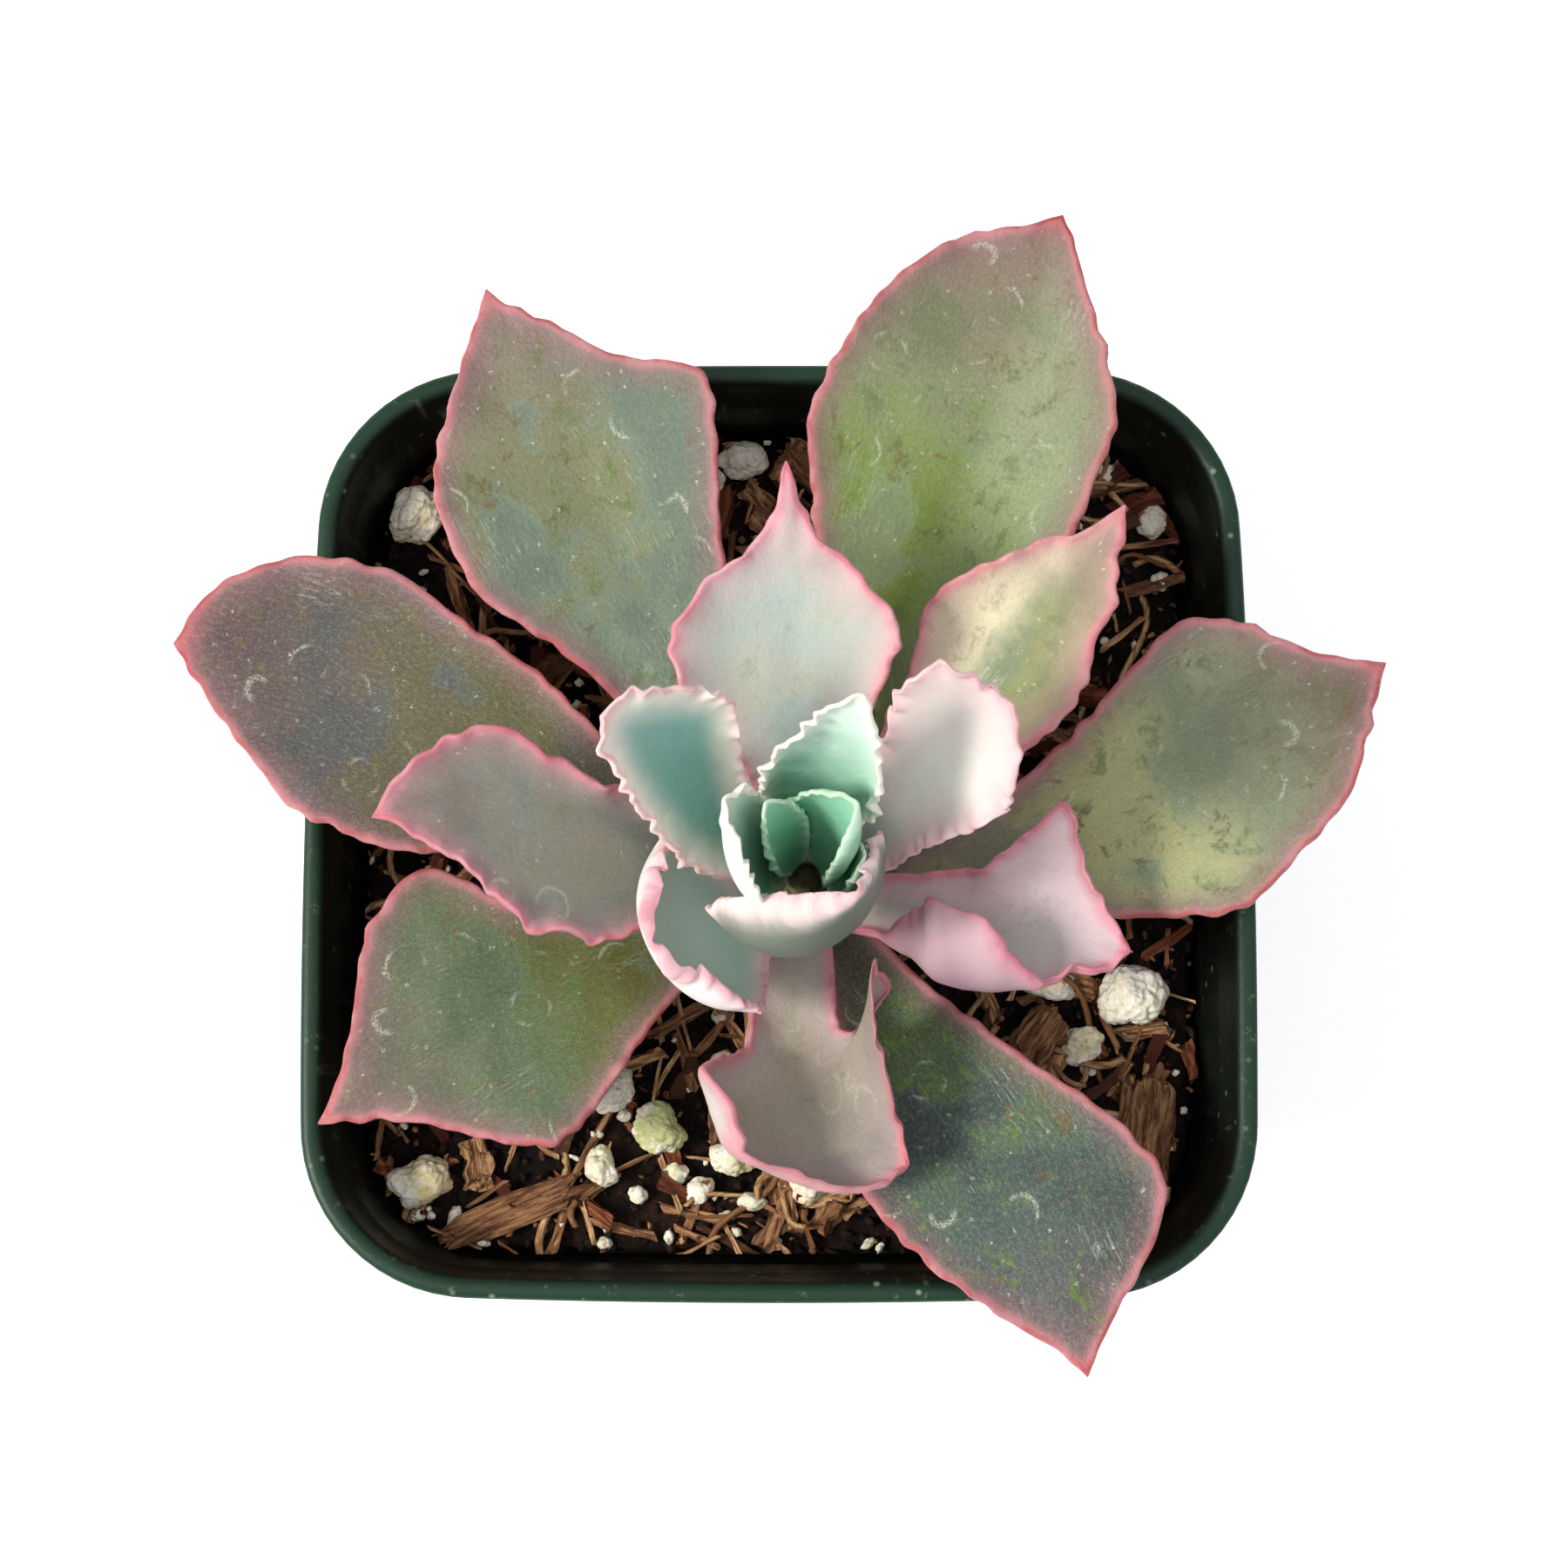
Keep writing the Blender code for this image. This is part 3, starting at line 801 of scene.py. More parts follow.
    def drill(self, obj: Object) -> None:
        """Cut the four drain holes through the floor.

        Args:
            obj: The pot.
        """
        bm = bmesh.new()
        for sx in (-1, 1):
            for sy in (-1, 1):
                bmesh.ops.create_cone(
                    bm, cap_ends=True, segments=48, radius1=self.drain / 2, radius2=self.drain / 2,
                    depth=8 * self.floor,
                    matrix=Matrix.Translation((sx * self.drain_offset, sy * self.drain_offset, 0)),
                )
        cutter = linked("drain_cutter", mesh_of("drain_cutter", bm))
        modifier = obj.modifiers.new("drain_holes", "BOOLEAN")
        modifier.operation = "DIFFERENCE"
        modifier.object = cutter
        cut = evaluated_mesh(obj)
        obj.modifiers.clear()
        obj.data = cut
        bpy.data.objects.remove(cutter)


def evaluated_mesh(obj: Object) -> Mesh:
    """A plain mesh of an object with its modifiers worked out.

    Args:
        obj: The object.

    Returns:
        Its mesh.
    """
    graph = bpy.context.evaluated_depsgraph_get()
    graph.update()
    return bpy.data.meshes.new_from_object(obj.evaluated_get(graph), depsgraph=graph)


@dataclass(frozen=True)
class PottingMix:
    """Damp peat, nearly black, with brown fibre and pale dust between its crumbs."""

    peat: Colour = paint(0.065, 0.043, 0.035)
    brown: Colour = paint(0.20, 0.12, 0.08)
    dust: Colour = paint(0.40, 0.30, 0.21)

    def build(self) -> Material:
        """Return the mix's material.

        Returns:
            The material.
        """
        graph = Finish("peat")
        clods = graph.cloud(260.0, 6.0, 0.7)
        threads = graph.cloud(700.0, 4.0, 0.7, 1.4)
        tone = graph.blend(clods.ramp(0.45, 0.7), self.peat, self.brown)
        tone = graph.blend(threads.ramp(0.6, 0.72) * 0.5, tone, self.dust)
        lumps = graph.relief(clods, 0.0012, 0.9)
        bumped = graph.relief(threads, 0.0004, 0.8, lumps)
        return graph.surface(Base_Color=tone, Roughness=0.95, Normal=bumped, Specular_IOR_Level=0.2)


@dataclass
class Soil:
    """The block of potting mix that fills the pot to below its rim."""

    pot: Pot
    drop: float = 0.012
    relief: float = 0.0011
    clearance: float = 0.0003
    foot_edge: float = 0.001
    rings: int = 70
    ground: BVHTree = field(init=False)

    def height(self, x: float, y: float) -> float:
        """Height of the uneven top at a point.

        Args:
            x, y: The point.

        Returns:
            The height.
        """
        coarse = noise.noise(Vector((x * 60, y * 60, 3.7)))
        fine = noise.noise(Vector((x * 170, y * 170, 8.1)))
        clods = noise.noise(Vector((x * 430, y * 430, 1.3))) + 0.5 * noise.noise(Vector((x * 980, y * 980, 5.2)))
        return self.pot.rim - self.drop + self.relief * (coarse + 0.35 * fine + 0.32 * clods)

    def build(self) -> Object:
        """Make and dress the block, and keep its surface for things to rest on.

        Returns:
            The finished block.
        """
        pot, gap = self.pot, self.clearance
        low, edge = pot.floor + gap, pot.rim - self.drop - 1.6 * self.relief
        inner = pot.ledge_depth
        rings = [
            pot.outline(*pot.inside(low, self.foot_edge + gap), low),
            pot.outline(*pot.inside(low + self.foot_edge, gap), low + self.foot_edge),
            pot.outline(*pot.inside(edge, gap + inner), edge),
        ]
        rings += self.surface(*pot.inside(edge, gap + inner), np.linspace(0.985, 0.02, self.rings))
        mesh, _ = capped("potting_mix", rings, (0, 0, low), (0, 0, self.height(0, 0)))
        bm = bmesh.new()
        bm.from_mesh(mesh)
        self.ground = BVHTree.FromBMesh(bm)
        bm.free()
        return mount(new_piece("potting_mix", mesh, PottingMix().build()), "potting_mix", "soil")

    def surface(self, half: float, corner: float, shares: Array) -> list[Array]:
        """Rings of points on the uneven top.

        Args:
            half, corner: Half width and corner radius of the widest ring.
            shares: The rings' sizes as shares of it.

        Returns:
            The rings.
        """
        rings = [self.pot.outline(half, corner, 0) * share for share in shares]
        for ring in rings:
            ring[:, 2] = [self.height(x, y) for x, y, _ in ring]
        return rings

    def under(self, x: float, y: float, reach: float = 0.0) -> float:
        """Highest point of the mix within reach of a place.

        Args:
            x, y: The place.
            reach: How far round it counts.

        Returns:
            The height of the highest point.
        """
        highest = 0.0
        for share in (0, 0.5, 1) if reach else (0,):
            for angle in np.linspace(0, 2 * math.pi, 8, endpoint=False):
                out = reach * share
                start = Vector((x + out * math.cos(angle), y + out * math.sin(angle), self.pot.rim))
                hit = self.ground.ray_cast(start, Vector((0, 0, -1)))[0]
                if hit is not None:
                    highest = max(highest, hit.z)
        return highest


@dataclass(frozen=True)
class Cork:
    """A dull corky stem, ringed where old leaves came away."""

    bark: Colour = paint(0.45, 0.40, 0.29)
    dark: Colour = paint(0.24, 0.19, 0.12)
    green: Colour = paint(0.45, 0.50, 0.32)

    def build(self) -> Material:
        """Return the stem's material.

        Returns:
            The material.
        """
        graph = Finish("stem_cork")
        rings = graph.cloud(1.0, 4.0, 0.6, at=graph.vector("MULTIPLY", graph.place, (180.0, 180.0, 900.0)))
        patch = graph.cloud(220.0, 4.0)
        tone = graph.blend(rings.ramp(0.35, 0.65), self.dark, self.bark)
        tone = graph.blend(patch.ramp(0.5, 0.75) * 0.7, tone, self.green)
        return graph.surface(Base_Color=tone, Roughness=0.82, Normal=graph.relief(rings, 0.0004, 0.8))


@dataclass
class Stem:
    """The short stem that the rosette grows from, with its root crown in the mix."""

    rim: float
    axis: tuple[float, float]
    low: float
    high: float
    radius: float = 0.0043
    taper: tuple[tuple[float, float], ...] = (
        (-40, 0.6), (-26, 0.75), (-14, 1.0), (-6, 0.97), (0, 0.86), (4, 0.6), (8, 0.42), (10.5, 0.2),
    )
    sides: int = 48
    levels: int = 90
    scar_spacing: float = 0.0021
    scar_depth: float = 0.00018

    def radius_at(self, z: float | Array) -> Array:
        """Radius of the stem at a height."""
        heights = [self.rim + height * MM for height, _ in self.taper]
        return self.radius * np.interp(z, heights, [share for _, share in self.taper])

    def build(self) -> Object:
        """Make the stem with its leaf scars and dress it.

        Returns:
            The finished stem.
        """
        rings = []
        for z in np.linspace(self.low, self.high, self.levels):
            turn = np.linspace(0, 2 * math.pi, self.sides, endpoint=False)
            scar = np.abs(np.sin(math.pi * z / self.scar_spacing + 0.8 * np.sin(turn * 3)))
            rough = np.array([noise.noise(Vector((math.cos(a) * 2, math.sin(a) * 2, z * 500))) for a in turn])
            radius = self.radius_at(z) - self.scar_depth * (1 - scar) + 0.00012 * rough
            x, y = self.axis[0] + radius * np.cos(turn), self.axis[1] + radius * np.sin(turn)
            rings.append(np.column_stack([x, y, np.full(self.sides, z)]))
        mesh, _ = capped("stem_wood", rings, (*self.axis, self.low), (*self.axis, self.high))
        return mount(new_piece("stem_wood", mesh, Cork().build()), "stem_bark", "stem")


# Leaves


@dataclass(frozen=True)
class Bloom:
    """A fleshy leaf's skin: powdery blade, stains and scars, a pink blush, a coloured margin and, on some leaves,
    painted light on the half that faces the key light.
    """

    blade: Colour
    foot: Colour
    far: Colour
    warm: Colour
    blush: Colour
    edge: Colour
    under: Colour
    stain: Colour = paint(0.42, 0.35, 0.22)
    green: Colour = paint(0.36, 0.47, 0.27)
    chalk: Colour = paint(0.86, 0.88, 0.82)
    scarlet: Colour = paint(0.80, 0.36, 0.38)
    edge_mm: float = 1.1
    blush_mm: float = 4.0
    blush_share: float = 0.6
    far_from: float = 0.6
    far_share: float = 0.8
    warm_share: float = 0.5
    warm_at: float = 0.55
    stains: float = 0.5
    scars: float = 0.4
    grain: float = 0.5
    shine: float = 0.5
    glow: float = 0.08
    mottle: float = 0.0
    # Painted light: a pale colour laid over one half of the leaf, on the given side, as if that half caught the key
    # light.
    painted_lit_half: Colour = paint(0.86, 0.84, 0.80)
    painted_lit_half_side: float = 1.0
    painted_lit_half_share: float = 0.0

    def build(self, name: str, seed: int) -> Material:
        """Make one leaf's material.

        Args:
            name: The material's name.
            seed: Which stretch of the patterns this leaf shows.

        Returns:
            The material.
        """
        graph = Finish(name, (seed * 0.37, seed * 0.11, 0.0))
        inward, along, under = (graph.attribute(key) for key in ("inward", "along", "under"))
        place = graph.stored_place("leaf_place")
        across = Value(graph, graph.node("ShaderNodeSeparateXYZ", None, {0: place}).outputs["Y"])
        flat = graph.vector("ADD", place, tuple(seed * step for step in PATTERN_STEP))
        lengthwise = graph.vector("MULTIPLY", flat, (0.7, 1.0, 1.0))
        broad = graph.cloud(0.085, 3.0, 0.5, 0.6, flat)
        patch = graph.cloud(0.24, 5.0, 0.62, 0.5, flat)
        powder = graph.cloud(2.6, 5.0, 0.85, 0.0, lengthwise)
        speck = graph.cloud(5.0, 2.0, 0.6, 0.0, flat)
        tone = graph.blend((along + 0.25 * (broad - 0.5)).ramp(0.08, 0.5), self.foot, self.blade)
        zone = (along + 0.35 * (patch - 0.5) - self.warm_at).size().ramp(0.36, 0.08)
        tone = graph.blend((broad + 0.5 * (patch - 0.5)).ramp(0.40, 0.56) * zone * self.warm_share, tone, self.warm)
        reach = (along + 0.35 * (patch - 0.5)).ramp(self.far_from, 1.0)
        tone = graph.blend(reach * self.far_share, tone, self.far)
        tone = graph.blend((broad + 0.4 * (patch - 0.5)).ramp(0.52, 0.34) * self.mottle, tone, self.shade_of(0.5))
        # Painted light: the half on the given side is lightened, as if it caught the key light.
        if self.painted_lit_half_share:
            half = (across * self.painted_lit_half_side + 5.0 * (patch - 0.5)).ramp(-1.5, 3.0) * along.ramp(0.1, 0.35)
            tone = graph.blend(half * self.painted_lit_half_share, tone, self.painted_lit_half)
        spot = graph.cloud(0.42, 5.0, 0.72, 0.8, flat)
        rubbed = (patch * 0.5 + spot * 0.5).ramp(0.52, 0.60) * broad.ramp(0.38, 0.56) * self.stains
        tone = graph.blend((rubbed * 0.8).bounded(), tone, self.green)
        stain = spot.ramp(0.56, 0.64) * graph.cloud(0.11, 2.0, 0.5, 0.0, flat).ramp(0.47, 0.6) * self.stains
        tone = graph.blend((stain * 0.75).bounded(), tone, self.stain)
        blush = (inward + 2.2 * (patch - 0.5)).ramp(self.blush_mm, 0.0) * (0.65 + 0.7 * broad)
        tone = graph.blend((blush * self.blush_share).bounded(), tone, self.blush)
        marks = self.marks(graph, flat, speck)
        tone = graph.blend(marks, tone, self.chalk)
        lit = (powder - 0.5) * (1.5 * self.grain) + (speck - 0.5) * (0.7 * self.grain)
        tone = graph.blend((lit * 1.9).bounded() * 0.45, tone, self.chalk)
        tone = graph.blend((lit * -2.6).bounded() * 0.8, tone, self.shade_of(0.4))
        rim_line = (inward + 1.2 * (patch - 0.5)).ramp(self.edge_mm * 1.7, self.edge_mm * 0.2)
        tip = (along + 0.02 * (patch - 0.5)).ramp(0.94, 1.0)
        rim_line = (rim_line * (0.6 + 0.6 * broad) + tip * 0.5).bounded()
        tone = graph.blend(rim_line * 0.85, tone, self.edge)
        line = (inward + 0.5 * (spot - 0.5)).ramp(0.55, 0.12) * patch.ramp(0.40, 0.58) + tip * 0.6
        tone = graph.blend((line * 0.75).bounded(), tone, self.scarlet)
        below = graph.blend((blush * 0.7).bounded(), self.under, self.blush)
        below = graph.blend(rim_line * 0.7, below, self.edge)
        tone = graph.blend(under * (1 - 0.55 * rim_line), tone, below)
        rough = (self.shine + 0.2 * (powder - 0.5) - 0.12 * rubbed + 0.1 * marks).bounded()
        swell = graph.relief(patch, 0.0006, 0.35)
        skin = graph.relief(powder, 0.00014 + 0.0003 * self.grain, 0.5, swell)
        pitted = graph.relief(marks, 0.0001, 0.4, skin)
        return graph.surface(
            Base_Color=tone, Roughness=rough, Normal=pitted, Specular_IOR_Level=0.38,
            Subsurface_Weight=self.glow, Subsurface_Radius=(1.0, 0.55, 0.35), Subsurface_Scale=0.0012,
        )

    def marks(self, graph: Finish, flat: Socket, speck: Value) -> Value:
        """Pale marks: parts of rings where drops dried, scratches and small dots.

        Args:
            graph: The material under construction.
            flat: Places on the flattened leaf, in millimetres.
            speck: Fine variation that thins the dots out.

        Returns:
            How strongly the marks show.
        """
        gate = graph.cloud(0.16, 2.0, 0.5, 0.0, flat)
        rings = (graph.cells(0.15, "F1", 1.0, flat) + 0.25 * gate - 0.42).size().ramp(0.04, 0.008)
        rings = rings * gate.ramp(0.54, 0.62) * speck.ramp(0.35, 0.6)
        scratch = graph.cloud(1.0, 3.0, 0.6, 0.3, graph.vector("MULTIPLY", flat, (0.09, 1.5, 1.0)))
        scratch = (scratch - 0.5).size().ramp(0.012, 0.002) * graph.cloud(0.13, 2.0, 0.5, 0.0, flat).ramp(0.55, 0.66)
        dots = graph.cells(0.62, "F1", 1.0, flat).ramp(0.17, 0.08) * speck.ramp(0.46, 0.58)
        return ((rings * 0.7 + scratch * 0.5 + dots * 0.85) * self.scars).bounded()

    def shade_of(self, share: float) -> Colour:
        """The blade's colour darkened to a share of itself."""
        return tuple(share * value for value in self.blade)


@dataclass(frozen=True)
class Margin:
    """How a leaf's edge waves and crisps, in millimetres."""

    frill_mm: float
    frill_height_mm: float
    frill_depth_mm: float
    crimp_mm: float
    crimp_height_mm: float
    crimp_depth_mm: float
    wobble_mm: float
    thickness_mm: float


@dataclass(frozen=True)
class LeafShape:
    """A leaf's shape as values from foot to tip. Left is anticlockwise seen from above.

    Heading, pitch, turn, curl and sweep are degrees; foot, length and the half widths are
    millimetres, and the foot is measured from the rim. The half widths are at STATIONS, with the
    tip's zero left out. Sweep turns a half back towards the foot, for a lobe.
    """

    heading: float
    foot: float
    length: float
    pitch: tuple[float, ...]
    turn: tuple[float, ...]
    left: tuple[float, ...]
    right: tuple[float, ...]
    curl_left: tuple[float, ...]
    curl_right: tuple[float, ...]
    sweep_left: tuple[float, ...] = (0,)
    sweep_right: tuple[float, ...] = (0,)


STATIONS = (0.0, 0.15, 0.3, 0.45, 0.6, 0.72, 0.82, 0.91, 0.97, 1.0)


@dataclass
class Leaf:
    """One leaf of the rosette, from its foot on the stem to its pointed tip."""

    name: str
    shape: LeafShape
    thickness: float
    margin: Margin
    finish: Bloom
    slot: str
    stem: Stem
    seed: int
    undulation_mm: float = 0.35
    groove_mm: float = 0.22
    still_mm: float = 2.0
    rings: int = 104
    tip_rings: int = 14
    across: int = 26
    upper_share: float = 0.38
    clearance: float = 0.0003
    section_steps: int = 64
    section_power: float = 1.3

    def stations(self) -> Array:
        """Where the rings are, closer together towards the tip.

        Returns:
            Shares of the length.
        """
        even = np.linspace(0.0, TIP_RINGS_FROM, self.rings)
        left_over = 1 - np.linspace(1, 0, self.tip_rings + 1)[1:] ** 1.6
        return np.concatenate([even, TIP_RINGS_FROM + (LAST_RING - TIP_RINGS_FROM) * left_over])

    def midrib(self, at: Array) -> tuple[Array, ...]:
        """The midrib and the directions along it.

        Args:
            at: Shares of the leaf's length.

        Returns:
            Points in millimetres, then forward, sideways and upward unit vectors.
        """
        shape = self.shape
        first = math.radians(shape.pitch[0])
        z = self.stem.rim / MM + shape.foot
        radius = self.stem.radius_at(z * MM) + self.clearance
        radius = float(radius) + self.thickness * self.upper_share * math.sin(first)
        side = math.radians(shape.heading)
        start = np.array([
            self.stem.axis[0] / MM + radius / MM * math.cos(side),
            self.stem.axis[1] / MM + radius / MM * math.sin(side),
            z,
        ])
        steps = 800
        middle = (np.arange(steps) + 0.5) / steps
        path = self.directions(middle)[0] * shape.length / steps
        walked = np.concatenate([[np.zeros(3)], np.cumsum(path, axis=0)])
        grid = np.linspace(0, 1, steps + 1)
        points = start + np.column_stack([np.interp(at, grid, walked[:, i]) for i in range(3)])
        return points, *self.directions(at)

    def directions(self, at: Array) -> tuple[Array, Array, Array]:
        """Forward, sideways and upward unit vectors at shares of the length.

        Args:
            at: Shares of the length.

        Returns:
            Three arrays of vectors, a row a share.
        """
        pitch = np.radians(spaced(self.shape.pitch, at))
        heading = np.radians(self.shape.heading + spaced(self.shape.turn, at))
        cos_h, sin_h, cos_p, sin_p = np.cos(heading), np.sin(heading), np.cos(pitch), np.sin(pitch)
        forward = np.column_stack([cos_h * cos_p, sin_h * cos_p, sin_p])
        sideways = np.column_stack([-sin_h, cos_h, np.zeros(len(at))])
        upward = np.column_stack([-sin_p * cos_h, -sin_p * sin_h, cos_p])
        return forward, sideways, upward

    def half_section(self, width: Array, curl: Array, share: Array) -> tuple[Array, ...]:
        """Roll one half of the leaf up from its midrib.

        Args:
            width: Half width at each ring.
            curl: The turn from midrib to margin at each ring, in degrees.
            share: Shares of the half width, a row a ring.

        Returns:
            Offsets sideways and upward, and the slope in radians.
        """
        middle = (np.arange(self.section_steps) + 0.5) / self.section_steps
        slope = np.radians(curl)[:, None] * middle[None] ** self.section_power
        start = np.zeros((len(width), 1))
        x = np.concatenate([start, np.cumsum(np.cos(slope), axis=1)], axis=1) / self.section_steps
        z = np.concatenate([start, np.cumsum(np.sin(slope), axis=1)], axis=1) / self.section_steps
        place = share * self.section_steps
        k = np.clip(place.astype(int), 0, self.section_steps - 1)
        t = place - k
        row = np.arange(len(width))[:, None]
        sideways = x[row, k] * (1 - t) + x[row, k + 1] * t
        upward = z[row, k] * (1 - t) + z[row, k + 1] * t
        turned = np.radians(curl)[:, None] * share**self.section_power
        return sideways * width[:, None], upward * width[:, None], turned

    def shares(self, width: Array) -> Array:
        """Shares of a half width at each ring, with the last few close to the margin.

        Args:
            width: The half width at each ring, in millimetres.

        Returns:
            A row of shares for each ring.
        """
        rim = np.minimum(0.5, 0.55 / np.maximum(width, 0.05))[:, None]
        body = np.linspace(0, 1, self.across + 1)[None, :] * (1 - rim)
        last = 1 - rim * np.array([0.66, 0.36, 0.14, 0.0])[None]
        return np.concatenate([body, last], axis=1)

    def nearest_margin(self, flat: Array, outline: Array) -> tuple[Array, ...]:
        """Find the margin's nearest place to every point of the flattened leaf.

        Args:
            flat: Points as millimetres along and across.
            outline: The margin from the left foot round the tip to the right foot.

        Returns:
            The distance, the length along the margin, and the outward direction there.
        """
        start, step = outline[:-1], np.diff(outline, axis=0)
        length = np.maximum(np.linalg.norm(step, axis=1), 1e-6)
        arc = np.concatenate([[0], np.cumsum(length)])[:-1]
        distance = np.full(len(flat), 1e9)
        place = np.zeros(len(flat))
        outward = np.zeros((len(flat), 2))
        normal = np.column_stack([-step[:, 1], step[:, 0]]) / length[:, None]
        for i in range(len(start)):
            share = np.clip(((flat - start[i]) @ step[i]) / length[i] ** 2, 0, 1)
            gap = np.linalg.norm(flat - start[i] - share[:, None] * step[i], axis=1)
            better = gap < distance
            distance[better] = gap[better]
            place[better] = arc[i] + share[better] * length[i]
            outward[better] = normal[i]
        return distance, place, outward

    def build(self) -> Object:
        """Make the leaf's mesh, dress it and fix it to the frame.

        Returns:
            The finished leaf.
        """
        shape, margin = self.shape, self.margin
        rng = np.random.default_rng(self.seed)
        at = self.stations()
        points, forward, sideways, upward = self.midrib(at)
        left = monotone(STATIONS, (*shape.left, 0), at)
        right = monotone(STATIONS, (*shape.right, 0), at)
        sides = []
        halves = (-1, right, shape.curl_right, shape.sweep_right), (1, left, shape.curl_left, shape.sweep_left)
        for sign, width, curl, swept in halves:
            share = self.shares(width)
            x, z, slope = (part[..., None] for part in self.half_section(width, spaced(curl, at), share))
            sweep = np.radians(spaced(swept, at))[:, None]
            aside = (sign * np.cos(sweep) * sideways - np.sin(sweep) * forward)[:, None]
            up = upward[:, None]
            normal = np.cos(slope) * up - np.sin(slope) * aside
            tangent = sign * (np.cos(slope) * aside + np.sin(slope) * up)
            centre = points[:, None] + x * aside + z * up
            sides.append((centre, normal, tangent, sign * share * width[:, None]))
        order = [slice(None, None, -1), slice(1, None)]
        centre, normal, tangent, offset = (
            np.concatenate([sides[i][k][:, order[i]] for i in range(2)], axis=1) for k in range(4)
        )
        rows, count = offset.shape
        span = np.repeat((at * shape.length)[:, None], count, axis=1)
        flat = np.column_stack([span.ravel(), offset.ravel()])
        outline = np.concatenate([
            np.column_stack([at * shape.length, left]),
            [(shape.length, 0.0)],
            np.column_stack([at * shape.length, -right])[::-1],
        ])
        inward, arc, outward = self.nearest_margin(flat, outline)
        grown = smoothstep(0.1, 0.42, np.repeat(at[:, None], count, axis=1).ravel())
        grown *= smoothstep(0, self.still_mm, np.abs(flat[:, 1]))
        frill = random_wave(rng, arc, margin.frill_mm) * margin.frill_height_mm
        frill *= np.clip(1 - inward / margin.frill_depth_mm, 0, 1) ** 1.6
        crimp = random_wave(rng, arc, margin.crimp_mm) * margin.crimp_height_mm
        crimp *= np.clip(1 - inward / margin.crimp_depth_mm, 0, 1) ** 1.5
        nick = random_wave(rng, arc, margin.crimp_mm * 1.3) * margin.wobble_mm
        nick *= np.clip(1 - inward / (2.2 * margin.crimp_depth_mm), 0, 1)
        lift = (frill + crimp) * grown
        lift += self.relief(flat, inward, at, count)
        centre = centre.reshape(-1, 3) + normal.reshape(-1, 3) * lift[:, None]
        along_leaf = np.repeat(forward, count, axis=0)
        centre += (along_leaf * outward[:, :1] + tangent.reshape(-1, 3) * outward[:, 1:]) * (nick * grown)[:, None]
        body = self.body_thickness(at, left, right, inward.reshape(rows, count))
        normal = normal.reshape(-1, 3)
        top = centre + normal * (body.ravel() * self.upper_share)[:, None]
        low = centre - normal * (body.ravel() * (1 - self.upper_share))[:, None]
        return self.close(top, low, rows, count, flat, inward, at)

    def relief(self, flat: Array, inward: Array, at: Array, count: int) -> Array:
        """Slow undulation of the blade and the groove over its midrib, in millimetres.

        Args:
            flat: Places on the flattened leaf.
            inward: Distances from the margin; not used.
            at: The rings' shares of the length.
            count: Points in a ring.

        Returns:
            How far each point is raised.
        """
        slow = np.array([noise.noise(Vector((s * 0.075, w * 0.1, self.seed * 3.3))) for s, w in flat])
        quick = np.array([noise.noise(Vector((s * 0.26, w * 0.26, self.seed * 1.7))) for s, w in flat])
        share = np.repeat(at[:, None], count, axis=1).ravel()
        fade = smoothstep(0.05, 0.4, share)
        groove = np.exp(-((flat[:, 1] / 1.5) ** 2)) * smoothstep(0.02, 0.2, share) * smoothstep(0.85, 0.45, share)
        return self.undulation_mm * fade * (1.6 * slow + 0.35 * quick) - self.groove_mm * groove

    def body_thickness(self, at: Array, left: Array, right: Array, inward: Array) -> Array:
        """Thickness in millimetres: a rounded margin that swells to the full fleshy blade.

        Args:
            at: The rings' shares of the length.
            left, right: The half widths there.
            inward: Distances from the margin, a row a ring.

        Returns:
            The thickness, a row a ring.
        """
        full = self.thickness / MM * monotone((0, 0.3, 0.8, 1), (0.85, 1, 0.75, 0.25), at)[:, None]
        half = (0.5 * (left + right))[:, None]
        edge = np.minimum(self.margin.thickness_mm, 0.9 * np.maximum(half, 0.12))
        radius = edge / 2
        round_off = np.sqrt(np.maximum(0, 1 - (1 - np.clip(inward / np.maximum(radius, 1e-3), 0, 1)) ** 2))
        swell = smoothstep(0, 1, inward / np.maximum(0.75 * half, 0.2))
        return edge * round_off + np.maximum(np.minimum(full, 1.1 * half) - edge, 0) * swell

    def close(self, top: Array, low: Array, rows: int, count: int, flat: Array, inward: Array, at: Array) -> Object:
        """Join the upper and lower skins at the margin, foot and tip, and store what the finish reads.

        Args:
            top: The upper skin's points, ring by ring.
            low: The lower skin's.
            rows: How many rings there are.
            count: Points in a ring of one skin.
            flat: Places on the flattened leaf.
            inward: Distances from the margin.
            at: The rings' shares of the length.

        Returns:
            The finished piece.
        """
        inner = slice(count - 2, 0, -1)
        def looped(values: Array, under: Array) -> Array:
            """Run values over the upper skin and back along the lower one."""
            over, back = (v.reshape(rows, count, -1) for v in (values, under))
            return np.concatenate([over, back[:, inner]], axis=1).reshape(rows * (2 * count - 2), -1)
        points = looped(top, low)
        around = 2 * count - 2
        tip, foot = self.midrib(np.array([1.0]))[0], points[:around].mean(axis=0, keepdims=True)
        points = np.concatenate([points, tip, foot])
        faces = ring_faces(rows, around)
        last, tip_at, foot_at = (rows - 1) * around, len(points) - 2, len(points) - 1
        faces += [(last + j, last + (j + 1) % around, tip_at) for j in range(around)]
        faces += [((j + 1) % around, j, foot_at) for j in range(around)]
        mesh = mesh_from(f"{self.name}_blade", points * MM, faces)
        length = self.shape.length
        share = np.repeat(at[:, None], count, axis=1).ravel()
        side = np.clip(1 - inward / (0.35 * self.margin.thickness_mm), 0, 1) * 0.5
        stored = {
            "inward": (inward, inward, 0.0, 3.0),
            "along": (share, share, 1.0, 0.0),
            "under": (side, 1 - side, 0.5, 0.5),
        }
